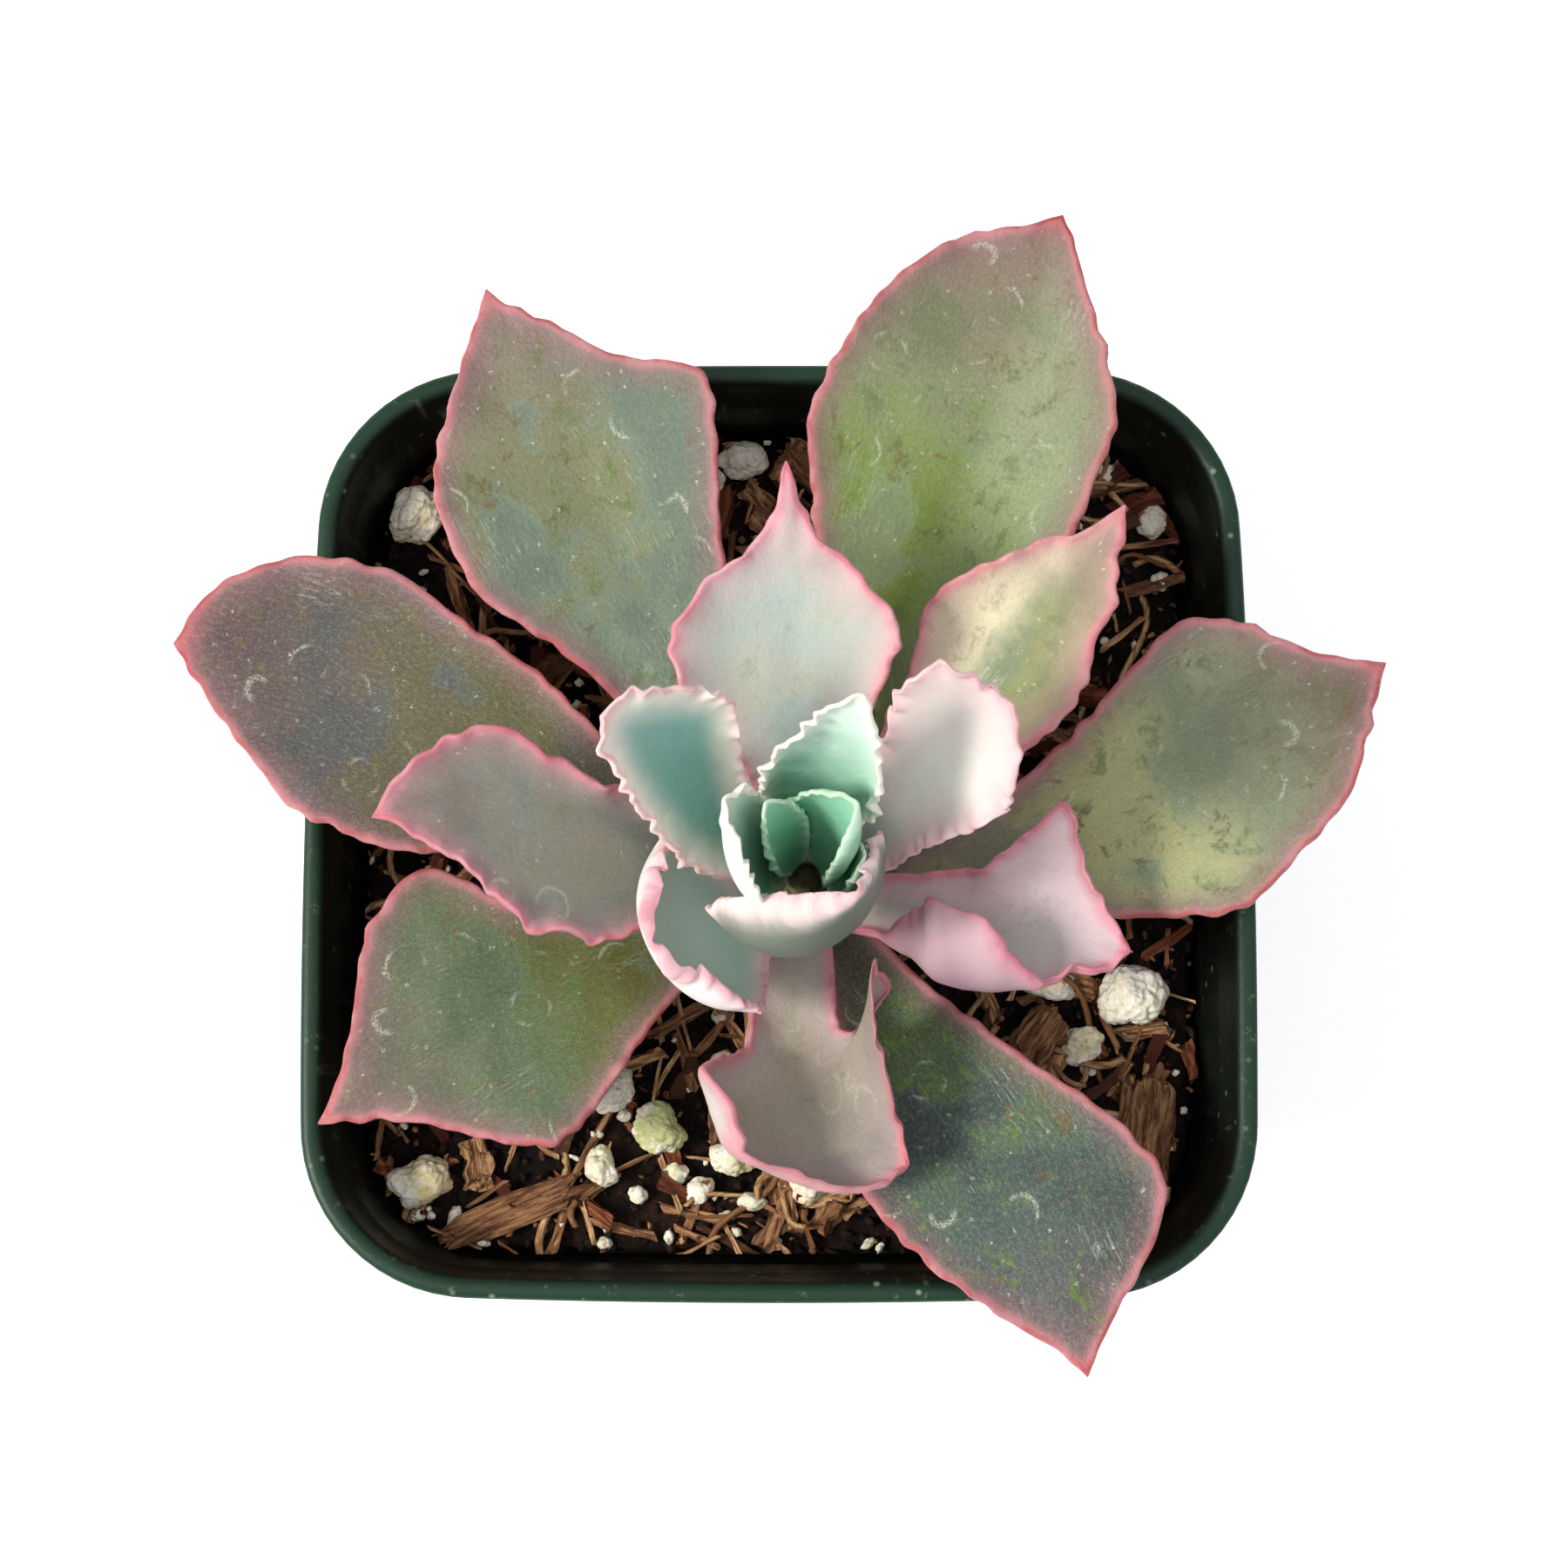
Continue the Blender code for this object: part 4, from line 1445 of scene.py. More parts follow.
        for key, (over, back, at_tip, at_foot) in stored.items():
            store(mesh, key, np.concatenate([looped(over, back)[:, 0], [at_tip, at_foot]]))
        places = np.column_stack([flat, np.zeros(len(flat))])
        beneath = places + np.array([0, 0, UNDERSIDE_APART])
        store(mesh, "leaf_place", np.concatenate([looped(places, beneath), [(length, 0, 0)], [(0, 0, 0)]]))
        piece = new_piece(f"{self.name}_blade", mesh, self.finish.build(f"{self.name}_skin", self.seed))
        return mount(piece, self.slot, self.name)


OUTER_BLOOM = Bloom(
    blade=paint(0.48, 0.53, 0.43), foot=paint(0.48, 0.49, 0.38), far=paint(0.46, 0.39, 0.38),
    warm=paint(0.56, 0.54, 0.34), blush=paint(0.60, 0.45, 0.46), edge=paint(0.82, 0.53, 0.55),
    under=paint(0.62, 0.54, 0.53), scarlet=paint(0.70, 0.25, 0.27), stain=paint(0.44, 0.31, 0.18),
    green=paint(0.35, 0.46, 0.20), chalk=paint(0.84, 0.85, 0.78), far_share=0.9, blush_mm=4.0,
    blush_share=0.7, glow=0.05, edge_mm=0.75,
    stains=0.7, warm_share=0.9, grain=0.65, scars=0.75, mottle=0.5,
)
# Partly painted shade: the dark foot colour stands for the leaves' own bluish bases and for the shade that the inner
# leaves cast on them.
MIDDLE_BLOOM = Bloom(
    blade=paint(0.71, 0.76, 0.73), foot=paint(0.49, 0.62, 0.59), far=paint(0.60, 0.49, 0.49),
    warm=paint(0.78, 0.76, 0.69), blush=paint(0.85, 0.70, 0.71), edge=paint(0.89, 0.61, 0.67),
    under=paint(0.86, 0.75, 0.75), far_share=0.85, far_from=0.7, stains=0.15, scars=0.3, grain=0.2,
    warm_share=0.5, blush_mm=6.0, edge_mm=0.9, shine=0.48, glow=0.12, scarlet=paint(0.80, 0.40, 0.46),
)
INNER_BLOOM = Bloom(
    blade=paint(0.62, 0.72, 0.68), foot=paint(0.42, 0.58, 0.50), far=paint(0.82, 0.80, 0.77),
    warm=paint(0.72, 0.76, 0.70), blush=paint(0.88, 0.80, 0.78), edge=paint(0.95, 0.83, 0.83),
    under=paint(0.96, 0.89, 0.88), far_share=0.75, far_from=0.62, stains=0.0, scars=0.1, grain=0.1,
    warm_share=0.3, blush_mm=5.0, blush_share=0.9, edge_mm=0.8, shine=0.45, glow=0.18,
    scarlet=paint(0.91, 0.66, 0.69),
)
CENTRE_BLOOM = Bloom(
    blade=paint(0.56, 0.78, 0.69), foot=paint(0.40, 0.64, 0.51), far=paint(0.90, 0.97, 0.92),
    warm=paint(0.56, 0.75, 0.66), blush=paint(0.90, 0.93, 0.87), edge=paint(0.97, 0.96, 0.91),
    under=paint(0.90, 0.96, 0.91), far_share=0.85, far_from=0.4, stains=0.0, scars=0.05, grain=0.04,
    warm_share=0.3, blush_mm=2.6, blush_share=0.85, edge_mm=0.6, shine=0.42, glow=0.15,
    scarlet=paint(0.96, 0.88, 0.84),
)
HEART_BLOOM = Bloom(
    blade=paint(0.56, 0.82, 0.69), foot=paint(0.50, 0.78, 0.62), far=paint(0.66, 0.88, 0.77),
    warm=paint(0.46, 0.71, 0.59), blush=paint(0.68, 0.86, 0.74), edge=paint(0.82, 0.93, 0.82),
    under=paint(0.50, 0.74, 0.60), far_share=0.5, far_from=0.6, stains=0.0, scars=0.0, grain=0.04,
    warm_share=0.3, blush_mm=1.8, blush_share=0.6, edge_mm=0.45, shine=0.4, glow=0.12,
    scarlet=paint(0.86, 0.92, 0.84),
)
BLOOMS = {  # the leaves that have coloured differently from the rest of their whorl
    "outer_leaf_back_left": replace(
        OUTER_BLOOM, blade=paint(0.49, 0.56, 0.48), warm=paint(0.50, 0.48, 0.27), far=paint(0.53, 0.44, 0.41),
        foot=paint(0.54, 0.60, 0.53), warm_at=0.72, stains=0.8, far_from=0.65, scars=1.0, warm_share=0.6,
    ),
    # Painted light: the right half is lightened, as if it caught the key light.
    "outer_leaf_back_right": replace(
        OUTER_BLOOM, blade=paint(0.53, 0.61, 0.42), warm=paint(0.46, 0.55, 0.19), far=paint(0.55, 0.43, 0.41),
        foot=paint(0.42, 0.48, 0.28), far_from=0.5, warm_at=0.40, warm_share=1.0, painted_lit_half=paint(0.70, 0.74, 0.60),
        painted_lit_half_side=-1.0, painted_lit_half_share=0.35,
    ),
    "outer_leaf_left": replace(
        OUTER_BLOOM, blade=paint(0.39, 0.43, 0.41), warm=paint(0.42, 0.41, 0.25), far=paint(0.37, 0.27, 0.27),
        far_from=0.4, far_share=0.95, green=paint(0.44, 0.42, 0.20), grain=0.85, blush_share=0.6,
    ),
    # Partly painted light: the pale foot stands for the leaf's own colour and for light falling on its base.
    "outer_leaf_right": replace(
        OUTER_BLOOM, blade=paint(0.61, 0.66, 0.52), warm=paint(0.72, 0.72, 0.50), far=paint(0.41, 0.32, 0.28),
        foot=paint(0.68, 0.66, 0.58), far_from=0.52, stains=0.8, warm_at=0.42, mottle=0.4,
    ),
    "outer_leaf_front_left": replace(
        OUTER_BLOOM, blade=paint(0.38, 0.47, 0.34), warm=paint(0.38, 0.40, 0.17), far=paint(0.44, 0.34, 0.33),
        far_from=0.5, far_share=0.95, green=paint(0.34, 0.46, 0.20), stains=0.9, warm_at=0.3, warm_share=1.0,
        blush_share=0.6,
    ),
    # Partly painted shade: the dark blue-green blade stands for shade on the leaf as well as for bloom rubbed off it.
    "outer_leaf_front_right": replace(
        OUTER_BLOOM, blade=paint(0.31, 0.385, 0.36), warm=paint(0.34, 0.43, 0.26), far=paint(0.42, 0.37, 0.38),
        foot=paint(0.36, 0.38, 0.28), green=paint(0.40, 0.52, 0.16), stains=1.0, scars=1.0, grain=0.95, far_from=0.6,
        warm_at=0.35, blush_share=0.5, mottle=0.9,
    ),
    # Painted light and shade: the left half is lightened to cream as if it caught the key light, and the blade is
    # darkened for the shaded rest.
    "middle_leaf_back_right": replace(
        MIDDLE_BLOOM, blade=paint(0.51, 0.56, 0.43), warm=paint(0.58, 0.60, 0.40), far=paint(0.52, 0.42, 0.36),
        blush=paint(0.76, 0.62, 0.59), foot=paint(0.46, 0.51, 0.40), edge=paint(0.85, 0.58, 0.60), stains=0.5,
        warm_share=0.9, warm_at=0.6, grain=0.3, scars=0.8, painted_lit_half=paint(0.95, 0.91, 0.77), painted_lit_half_share=0.85,
    ),
    "middle_leaf_left": replace(
        MIDDLE_BLOOM, blade=paint(0.53, 0.55, 0.51), warm=paint(0.56, 0.53, 0.46), far=paint(0.47, 0.37, 0.34),
        blush=paint(0.74, 0.56, 0.58), foot=paint(0.42, 0.46, 0.41), grain=0.35, far_from=0.6, blush_mm=4.0,
        edge=paint(0.84, 0.56, 0.61), blush_share=0.5, mottle=0.3, scars=0.5,
    ),
    # Painted light: the left half is lightened to a pinkish white, as if it caught the key light.
    "middle_leaf_right": replace(
        MIDDLE_BLOOM, blade=paint(0.76, 0.76, 0.74), warm=paint(0.76, 0.72, 0.70), far=paint(0.68, 0.58, 0.60),
        blush=paint(0.84, 0.70, 0.73), under=paint(0.66, 0.53, 0.58), foot=paint(0.68, 0.70, 0.63), grain=0.2,
        edge=paint(0.86, 0.54, 0.61), painted_lit_half=paint(0.93, 0.85, 0.86), painted_lit_half_share=0.8,
    ),
    "middle_leaf_front": replace(
        MIDDLE_BLOOM, blade=paint(0.66, 0.62, 0.56), warm=paint(0.66, 0.61, 0.50), foot=paint(0.72, 0.71, 0.65),
        far=paint(0.46, 0.43, 0.43), blush=paint(0.74, 0.66, 0.66), under=paint(0.88, 0.85, 0.83), grain=0.35,
        edge=paint(0.85, 0.56, 0.60), stains=0.3, far_from=0.7, mottle=0.25,
    ),
    "inner_leaf_left": replace(
        INNER_BLOOM, blade=paint(0.47, 0.68, 0.64), foot=paint(0.38, 0.58, 0.50), far=paint(0.66, 0.78, 0.75),
        warm=paint(0.52, 0.71, 0.67), far_share=0.6, blush=paint(1.0, 0.95, 0.91), blush_mm=4.5,
        edge=paint(1.0, 0.87, 0.86), glow=0.25,
    ),
    "inner_leaf_right": replace(
        INNER_BLOOM, blade=paint(0.93, 0.93, 0.90), foot=paint(0.38, 0.62, 0.50), far=paint(0.90, 0.84, 0.82),
        warm=paint(0.92, 0.91, 0.87), blush=paint(0.90, 0.80, 0.80), edge=paint(0.93, 0.78, 0.80), glow=0.25,
    ),
    # Partly painted light: the blade is made paler to stand for light reaching the leaf's shaded hollow.
    "inner_leaf_front_left": replace(
        INNER_BLOOM, blade=paint(0.78, 0.89, 0.84), far=paint(0.84, 0.90, 0.86), foot=paint(0.62, 0.74, 0.67),
        far_share=0.4, blush_mm=3.0, blush=paint(0.96, 0.87, 0.86), under=paint(1.0, 0.97, 0.96),
        edge=paint(0.95, 0.72, 0.76), scarlet=paint(0.88, 0.52, 0.58), glow=0.3,
    ),
    # Painted shade: the underside is darkened for the shade on the leaf's outer face.
    "inner_leaf_front": replace(
        INNER_BLOOM, blade=paint(0.80, 0.82, 0.78), under=paint(0.44, 0.48, 0.43), blush=paint(0.84, 0.78, 0.76),
        blush_mm=2.6, edge=paint(0.97, 0.88, 0.87),
    ),
}


@dataclass(frozen=True)
class WhorlStyle:
    """What the leaves of one whorl share."""

    thickness: float
    margin: Margin
    bloom: Bloom
    slot: str
    undulation_mm: float
    groove_mm: float


class Whorl(Enum):
    """The rings of leaves, from the oldest to the youngest."""

    OUTER = WhorlStyle(
        0.0024, Margin(11, 0.45, 5, 2.9, 0.16, 1.8, 0.16, 0.95), OUTER_BLOOM, "outer_leaves", 0.45, 0.25,
    )
    MIDDLE = WhorlStyle(
        0.0018, Margin(8, 0.55, 4, 2.6, 0.22, 1.6, 0.16, 0.8), MIDDLE_BLOOM, "middle_leaves", 0.3, 0.15,
    )
    INNER = WhorlStyle(
        0.0013, Margin(6, 0.45, 3, 2.2, 0.42, 1.5, 0.18, 0.55), INNER_BLOOM, "inner_leaves", 0.15, 0.08,
    )
    CENTRE = WhorlStyle(
        0.0010, Margin(5, 0.3, 2.4, 1.9, 0.34, 1.2, 0.14, 0.42), CENTRE_BLOOM, "centre_leaves", 0.1, 0.05,
    )
    HEART = WhorlStyle(
        0.0010, Margin(4, 0.2, 1.6, 1.6, 0.16, 0.9, 0.08, 0.36), HEART_BLOOM, "heart_leaves", 0.05, 0.04,
    )


@dataclass
class Rosette:
    """All the leaves, each on its own heading round the stem."""

    stem: Stem
    leaves: dict[Whorl, dict[str, LeafShape]]
    blooms: dict[str, Bloom] = field(default_factory=dict)

    def build(self) -> None:
        """Make every leaf, from the outer whorl in."""
        seed = 11
        for whorl, shapes in self.leaves.items():
            style = whorl.value
            for name, shape in shapes.items():
                seed += 1
                leaf = Leaf(
                    name, shape, style.thickness, style.margin, self.blooms.get(name, style.bloom), style.slot,
                    self.stem, seed, style.undulation_mm, style.groove_mm,
                )
                leaf.build()


LEAVES = {
    Whorl.OUTER: {
        "outer_leaf_back_left": LeafShape(
            118, -7.5, 62, (26, 16, 8, 4), (0,), (3.2, 4.4, 6.5, 10.3, 14.8, 14.4, 10.7, 5.5, 1.8),
            (3.2, 4.2, 6, 8, 12.2, 14.7, 7.6, 3.8, 0.8), (35, 25, 15), (35, 25, 15),
        ),
        "outer_leaf_back_right": LeafShape(
            69, -3.5, 65, (22, 13, 8, 4), (0,), (3.2, 4.4, 7, 12, 15.9, 15.2, 12.8, 8.6, 2.5),
            (3.2, 4.4, 6.5, 9.3, 12.2, 12.2, 8.8, 4.6, 1.8), (35, 30, 20), (35, 30, 20),
        ),
        "outer_leaf_left": LeafShape(
            152, -4.5, 60, (22, 14, 7, 2), (0, 4, 10, 18), (3.2, 4.2, 6.5, 11, 13.6, 13.2, 9.8, 5.5, 2),
            (3.2, 3.6, 4.3, 7.3, 9.6, 11.6, 11, 8.3, 4.8), (30, 20, 12), (30, 20, 12),
        ),
        "outer_leaf_right": LeafShape(
            10, -7, 55.5, (26, 17, 8, 6), (0, 8, 15, 26), (3.2, 3.8, 5, 7.8, 11.5, 13.5, 11, 4.7, 1.5),
            (3.2, 4.4, 7, 10.5, 13.6, 11.2, 8.8, 4.5, 1.2), (30, 20, 15), (30, 20, 15),
        ),
        "outer_leaf_front_left": LeafShape(
            -166, -8, 47, (24, 16, 8, 2), (0, 8, 16, 30), (3.2, 4.4, 7.8, 12, 14.7, 11.6, 7, 3.2, 1.2),
            (3.2, 3.8, 4.5, 7.2, 14.5, 11.9, 6, 2.1, 0.5), (30, 20, 12), (30, 20, 12),
        ),
        "outer_leaf_front_right": LeafShape(
            -52, -6, 48, (24, 16, 10, 4), (0, -5, -12, -22), (3.2, 3.8, 5.6, 8.2, 11.6, 13.2, 9.8, 4, 1.2),
            (3.2, 5.2, 9, 12.1, 11.3, 9.3, 6.3, 2.8, 0.8), (30, 20, 12), (30, 20, 12),
        ),
    },
    Whorl.MIDDLE: {
        "middle_leaf_back": LeafShape(
            93, 2, 38, (50, 38, 26, 16), (0,), (2.8, 4, 6.5, 10.6, 11.7, 8.8, 3.2, 0.9, 0.5),
            (2.8, 3.6, 4.5, 7.9, 10, 6.9, 3.2, 0.9, 0.5), (40, 40, 30), (40, 40, 30),
        ),
        "middle_leaf_back_right": LeafShape(
            49, 0, 43, (36, 26, 18, 14), (0,), (2.8, 3.2, 4, 5.8, 8.4, 6.6, 4.1, 1.3, 0.4),
            (2.8, 4, 6, 7.7, 9, 6.7, 5.5, 2.9, 1), (40, 40, 30), (40, 40, 30),
        ),
        "middle_leaf_left": LeafShape(
            160, -1.5, 40, (42, 30, 21, 10), (0, 4, 16, 50), (2.8, 5.6, 9.6, 12.6, 12.8, 10.2, 7, 4, 1),
            (2.8, 3.2, 3.3, 3.2, 4.3, 6.3, 5.2, 3, 0.8), (40, 40, 30), (40, 50, 50),
        ),
        "middle_leaf_right": LeafShape(
            -12, -1, 28, (36, 26, 18, 10), (0, 0, -1, -4), (2.8, 3.4, 4, 5, 8.8, 12.5, 6.2, 2.8, 1.2),
            (2.8, 3.8, 9, 17, 16, 10, 5, 3, 1.3), (40, 50, 50, 50), (40, 110, 225, 200, 90, 60),
        ),
        "middle_leaf_front": LeafShape(
            -96, -1, 28, (24, 16, 14, 18), (0, 5, 46, 92), (3, 3.6, 4.2, 6, 15, 17, 14.5, 9, 3.6),
            (3, 4, 4.6, 6, 16, 15.5, 10, 5, 2), (20, 45, 60, 60), (20, 60, 130, 90), (0, 10, 26, 0), (0, 6, 34, 6),
        ),
    },
    Whorl.INNER: {
        "inner_leaf_left": LeafShape(
            151, 4, 31.8, (52, 58, 60, 52), (0, -4, -6, 0), (2.4, 3.4, 5, 5.6, 5, 4.6, 4, 3, 1.6),
            (2.4, 3.2, 4.2, 5.5, 7.6, 8.8, 7.4, 5.2, 3), (45,), (45,),
        ),
        "inner_leaf_right": LeafShape(
            29, 3.5, 34, (60, 64, 60, 50), (0, 6, 7, 4), (2.4, 3.2, 4.4, 5, 5.8, 7, 8, 7.5, 5),
            (2.4, 3, 3.6, 4.2, 5.4, 6.4, 6.2, 4.2, 1.6), (40, 50, 50), (40, 30, 0),
        ),
        "inner_leaf_front_left": LeafShape(
            -154, 2.5, 21, (14, 28, 72, 100), (0,), (2.6, 5, 9, 11, 11, 11, 10, 8, 5.5),
            (2.6, 5, 9, 10.5, 11, 11, 10, 9, 6), (40, 72, 80), (40, 70, 80),
        ),
        "inner_leaf_front": LeafShape(
            -42, 6, 23, (58, 80, 92, 95), (0,), (2.4, 3.6, 5.5, 6.5, 7, 6.5, 5, 3, 1),
            (2.4, 5.2, 9.5, 13, 15, 15, 13.5, 10, 5), (60, 70, 70), (100, 115, 115),
        ),
    },
    Whorl.CENTRE: {
        "centre_leaf_back": LeafShape(
            68, 7.5, 33.5, (80, 76, 74, 66), (0,), (1.7, 3.2, 4.8, 6.4, 7.4, 6.8, 5.2, 3.4, 1.5),
            (1.7, 2.2, 2.9, 4.1, 5.2, 5, 4, 2.5, 1), (60, 74, 70), (60, 80, 70),
        ),
        "centre_leaf_left": LeafShape(
            154, 8.5, 25, (78, 76, 78, 80), (0,), (1.7, 3.6, 6.4, 8.2, 8.5, 8, 6.8, 4.8, 2.3),
            (1.7, 2.1, 2.3, 2.6, 2.9, 3, 2.8, 2.2, 1.2), (80, 98, 98), (60, 80),
        ),
    },
    Whorl.HEART: {
        "heart_leaf_back": LeafShape(
            37, 10.5, 23, (80, 82, 82, 80), (0,), (1.2, 2.6, 4.1, 5.1, 5.5, 5.5, 5.1, 4.2, 2.3),
            (1.2, 2.6, 4, 4.8, 5, 5, 4.6, 3.6, 1.8), (60, 80, 80), (80, 130, 130),
        ),
        "heart_leaf_left": LeafShape(
            137, 11, 21, (84, 82, 80, 78), (0,), (1.1, 2, 2.6, 2.8, 2.8, 2.6, 2.2, 1.4, 0.6),
            (1.1, 1.8, 2.2, 2.5, 2.7, 2.6, 2.3, 1.6, 0.8), (60,), (60,),
        ),
        "heart_leaf_right": LeafShape(
            -5, 8.5, 18.5, (76, 81, 85, 85), (0,), (1.2, 1.8, 2.2, 2.4, 2.4, 2.2, 1.8, 1.2, 0.6),
            (1.2, 1.8, 2.2, 2.4, 2.4, 2.2, 1.8, 1.2, 0.6), (40,), (40,),
        ),
    },
}


# Loose pieces on the mix


@dataclass(frozen=True)
class Perlite:
    """Puffed white mineral: chalky, pitted, a little stained with peat and algae."""

    white: Colour = paint(0.975, 0.955, 0.90)
    cream: Colour = paint(0.935, 0.845, 0.60)
    algae: Colour = paint(0.72, 0.76, 0.42)
    peat: Colour = paint(0.40, 0.29, 0.18)

    def build(self, name: str, cream: float, algae: float) -> Material:
        """Make the mineral's material.

        Args:
            name: The material's name.
            cream: How far it has yellowed, 0 to 1.
            algae: How green its damp parts are, 0 to 1.

        Returns:
            The material.
        """
        graph = Finish(name)
        patch = graph.cloud(330.0, 4.0, 0.6)
        pores = graph.cells(1500.0, "F1")
        fine = graph.cloud(2600.0, 3.0, 0.65)
        hollow = graph.attribute("hollow")
        low = graph.attribute("low")
        tone = graph.blend(patch.ramp(0.35, 0.7) * cream, self.white, self.cream)
        tone = graph.blend(graph.cloud(240.0, 3.0, 0.6, 0.6).ramp(0.47, 0.6) * algae, tone, self.algae)
        tone = graph.blend(hollow * fine.ramp(0.42, 0.66) * 0.4, tone, self.peat)
        tone = graph.blend(low * 0.3, tone, self.peat)
        bumped = graph.relief(pores, 0.00035, 0.6, graph.relief(fine, 0.00012, 0.6))
        return graph.surface(Base_Color=tone, Roughness=0.88, Normal=bumped, Specular_IOR_Level=0.3)


@dataclass(frozen=True)
class Bark:
    """Shredded conifer bark: red-brown fibres, with pale split faces."""

    brown: Colour = paint(0.60, 0.40, 0.27)
    dark: Colour = paint(0.26, 0.15, 0.10)
    pale: Colour = paint(0.84, 0.66, 0.47)

    def build(self, name: str, pale_share: float = 0.5) -> Material:
        """Make the bark's material.

        Args:
            name: The material's name.
            pale_share: How much pale wood shows.

        Returns:
            The material.
        """
        graph = Finish(name)
        tint = graph.attribute("tint")
        apart = graph.axes(tint * 9.0, tint * 31.0)
        along = graph.vector("MULTIPLY", graph.stored_place("grain_place"), (260.0, 2300.0, 2300.0))
        along = graph.vector("ADD", along, apart)
        fibre = graph.cloud(1.0, 5.0, 0.7, 0.4, along)
        patch = graph.cloud(300.0, 4.0)
        tone = graph.blend(fibre.ramp(0.26, 0.66), self.dark, self.brown)
        tone = graph.blend(tint.ramp(0.7, 0.15) * 0.85, tone, self.dark)
        split = fibre.ramp(0.42, 0.68) * (tint * 1.5 + patch - 0.7)
        tone = graph.blend(split.bounded() * pale_share, tone, self.pale)
        return graph.surface(
            Base_Color=tone, Roughness=0.85, Normal=graph.relief(fibre, 0.0004, 0.9), Specular_IOR_Level=0.25,
        )


@dataclass(frozen=True)
class LumpShape:
    """Where a loose lump lies and how big it is, in millimetres, with its heading in degrees."""

    x: float
    y: float
    length: float
    width: float
    height: float
    heading: float


@dataclass
class Lump:
    """Something that lies on the mix, flat where it rests."""

    name: str
    shape: LumpShape
    soil: Soil
    nodes: tuple[str, ...] = ()
    floor_share: float = 0.34
    roughness: float = 0.3
    rest_share: float = 0.25

    def lumpiness(self, start: Vector) -> float:
        """How far a point of the plain shape is pushed out or in."""
        return 1 + self.roughness * noise.noise(start * 2.6 + self.offset)

    @property
    def offset(self) -> Vector:
        """Where this lump reads its noise."""
        return Vector((self.shape.x * MM, self.shape.y * MM, 0)) * 900

    def placing(self) -> Matrix:
        """Scale and heading of the lump.

        Returns:
            The matrix that does both.
        """
        shape = self.shape
        size = Matrix.Diagonal((shape.length * MM, shape.width * MM, shape.height * MM, 1))
        return Matrix.Rotation(math.radians(shape.heading), 4, "Z") @ size

    def settled(self, bm: bmesh.types.BMesh, stored: dict[str, Array], low: bool = False) -> Mesh:
        """Flatten the lump's underside and set it down on the mix.

        Args:
            bm: The lump round the origin.
            stored: Attributes of its points, by name.
            low: Whether nearness to the underside is stored too.

        Returns:
            The lump's mesh.
        """
        shape = self.shape
        x, y = shape.x * MM, shape.y * MM
        floor = -self.floor_share * shape.height * MM
        for vert in bm.verts:
            vert.co.z = max(vert.co.z, floor)
        if low:
            near = [max(0.0, 1 - (vert.co.z - floor) / (0.3 * shape.height * MM)) for vert in bm.verts]
            stored = {**stored, "low": np.array(near)}
        lift = self.soil.under(x, y, self.rest_share * shape.length * MM) - floor
        bmesh.ops.translate(bm, verts=bm.verts[:], vec=(x, y, lift))
        mesh = mesh_of(self.name, bm)
        for name, values in stored.items():
            store(mesh, name, values)
        return mesh


@dataclass
class Nugget(Lump):
    """A puffed crumb of perlite."""

    cream: float = 0.5
    algae: float = 0.2
    subdivisions: int = 5

    def mesh(self) -> Mesh:
        """Make the crumb: a puffed ball, pitted between its cells.

        Returns:
            The crumb's mesh.
        """
        bm = bmesh.new()
        bmesh.ops.create_icosphere(bm, subdivisions=self.subdivisions, radius=0.5)
        place, hollows = self.placing(), []
        for vert in bm.verts:
            start = vert.co.copy()
            near, nearer = noise.voronoi(start * 4.2 + self.offset)[0][:2][::-1]
            seam = 1 - min(1.0, (near - nearer) / 0.34)
            lump = self.lumpiness(start) - 0.085 * seam**2 + 0.03 * noise.noise(start * 13 + self.offset)
            vert.co = place @ (start * lump)
            hollows.append(seam**2)
        return self.settled(bm, {"hollow": np.array(hollows)}, low=True)

    def build(self) -> Object:
        """Make, dress and fix the crumb."""
        material = Perlite().build(f"{self.name}_skin", self.cream, self.algae)
        return mount(new_piece(self.name, self.mesh(), material), "perlite", *self.nodes)


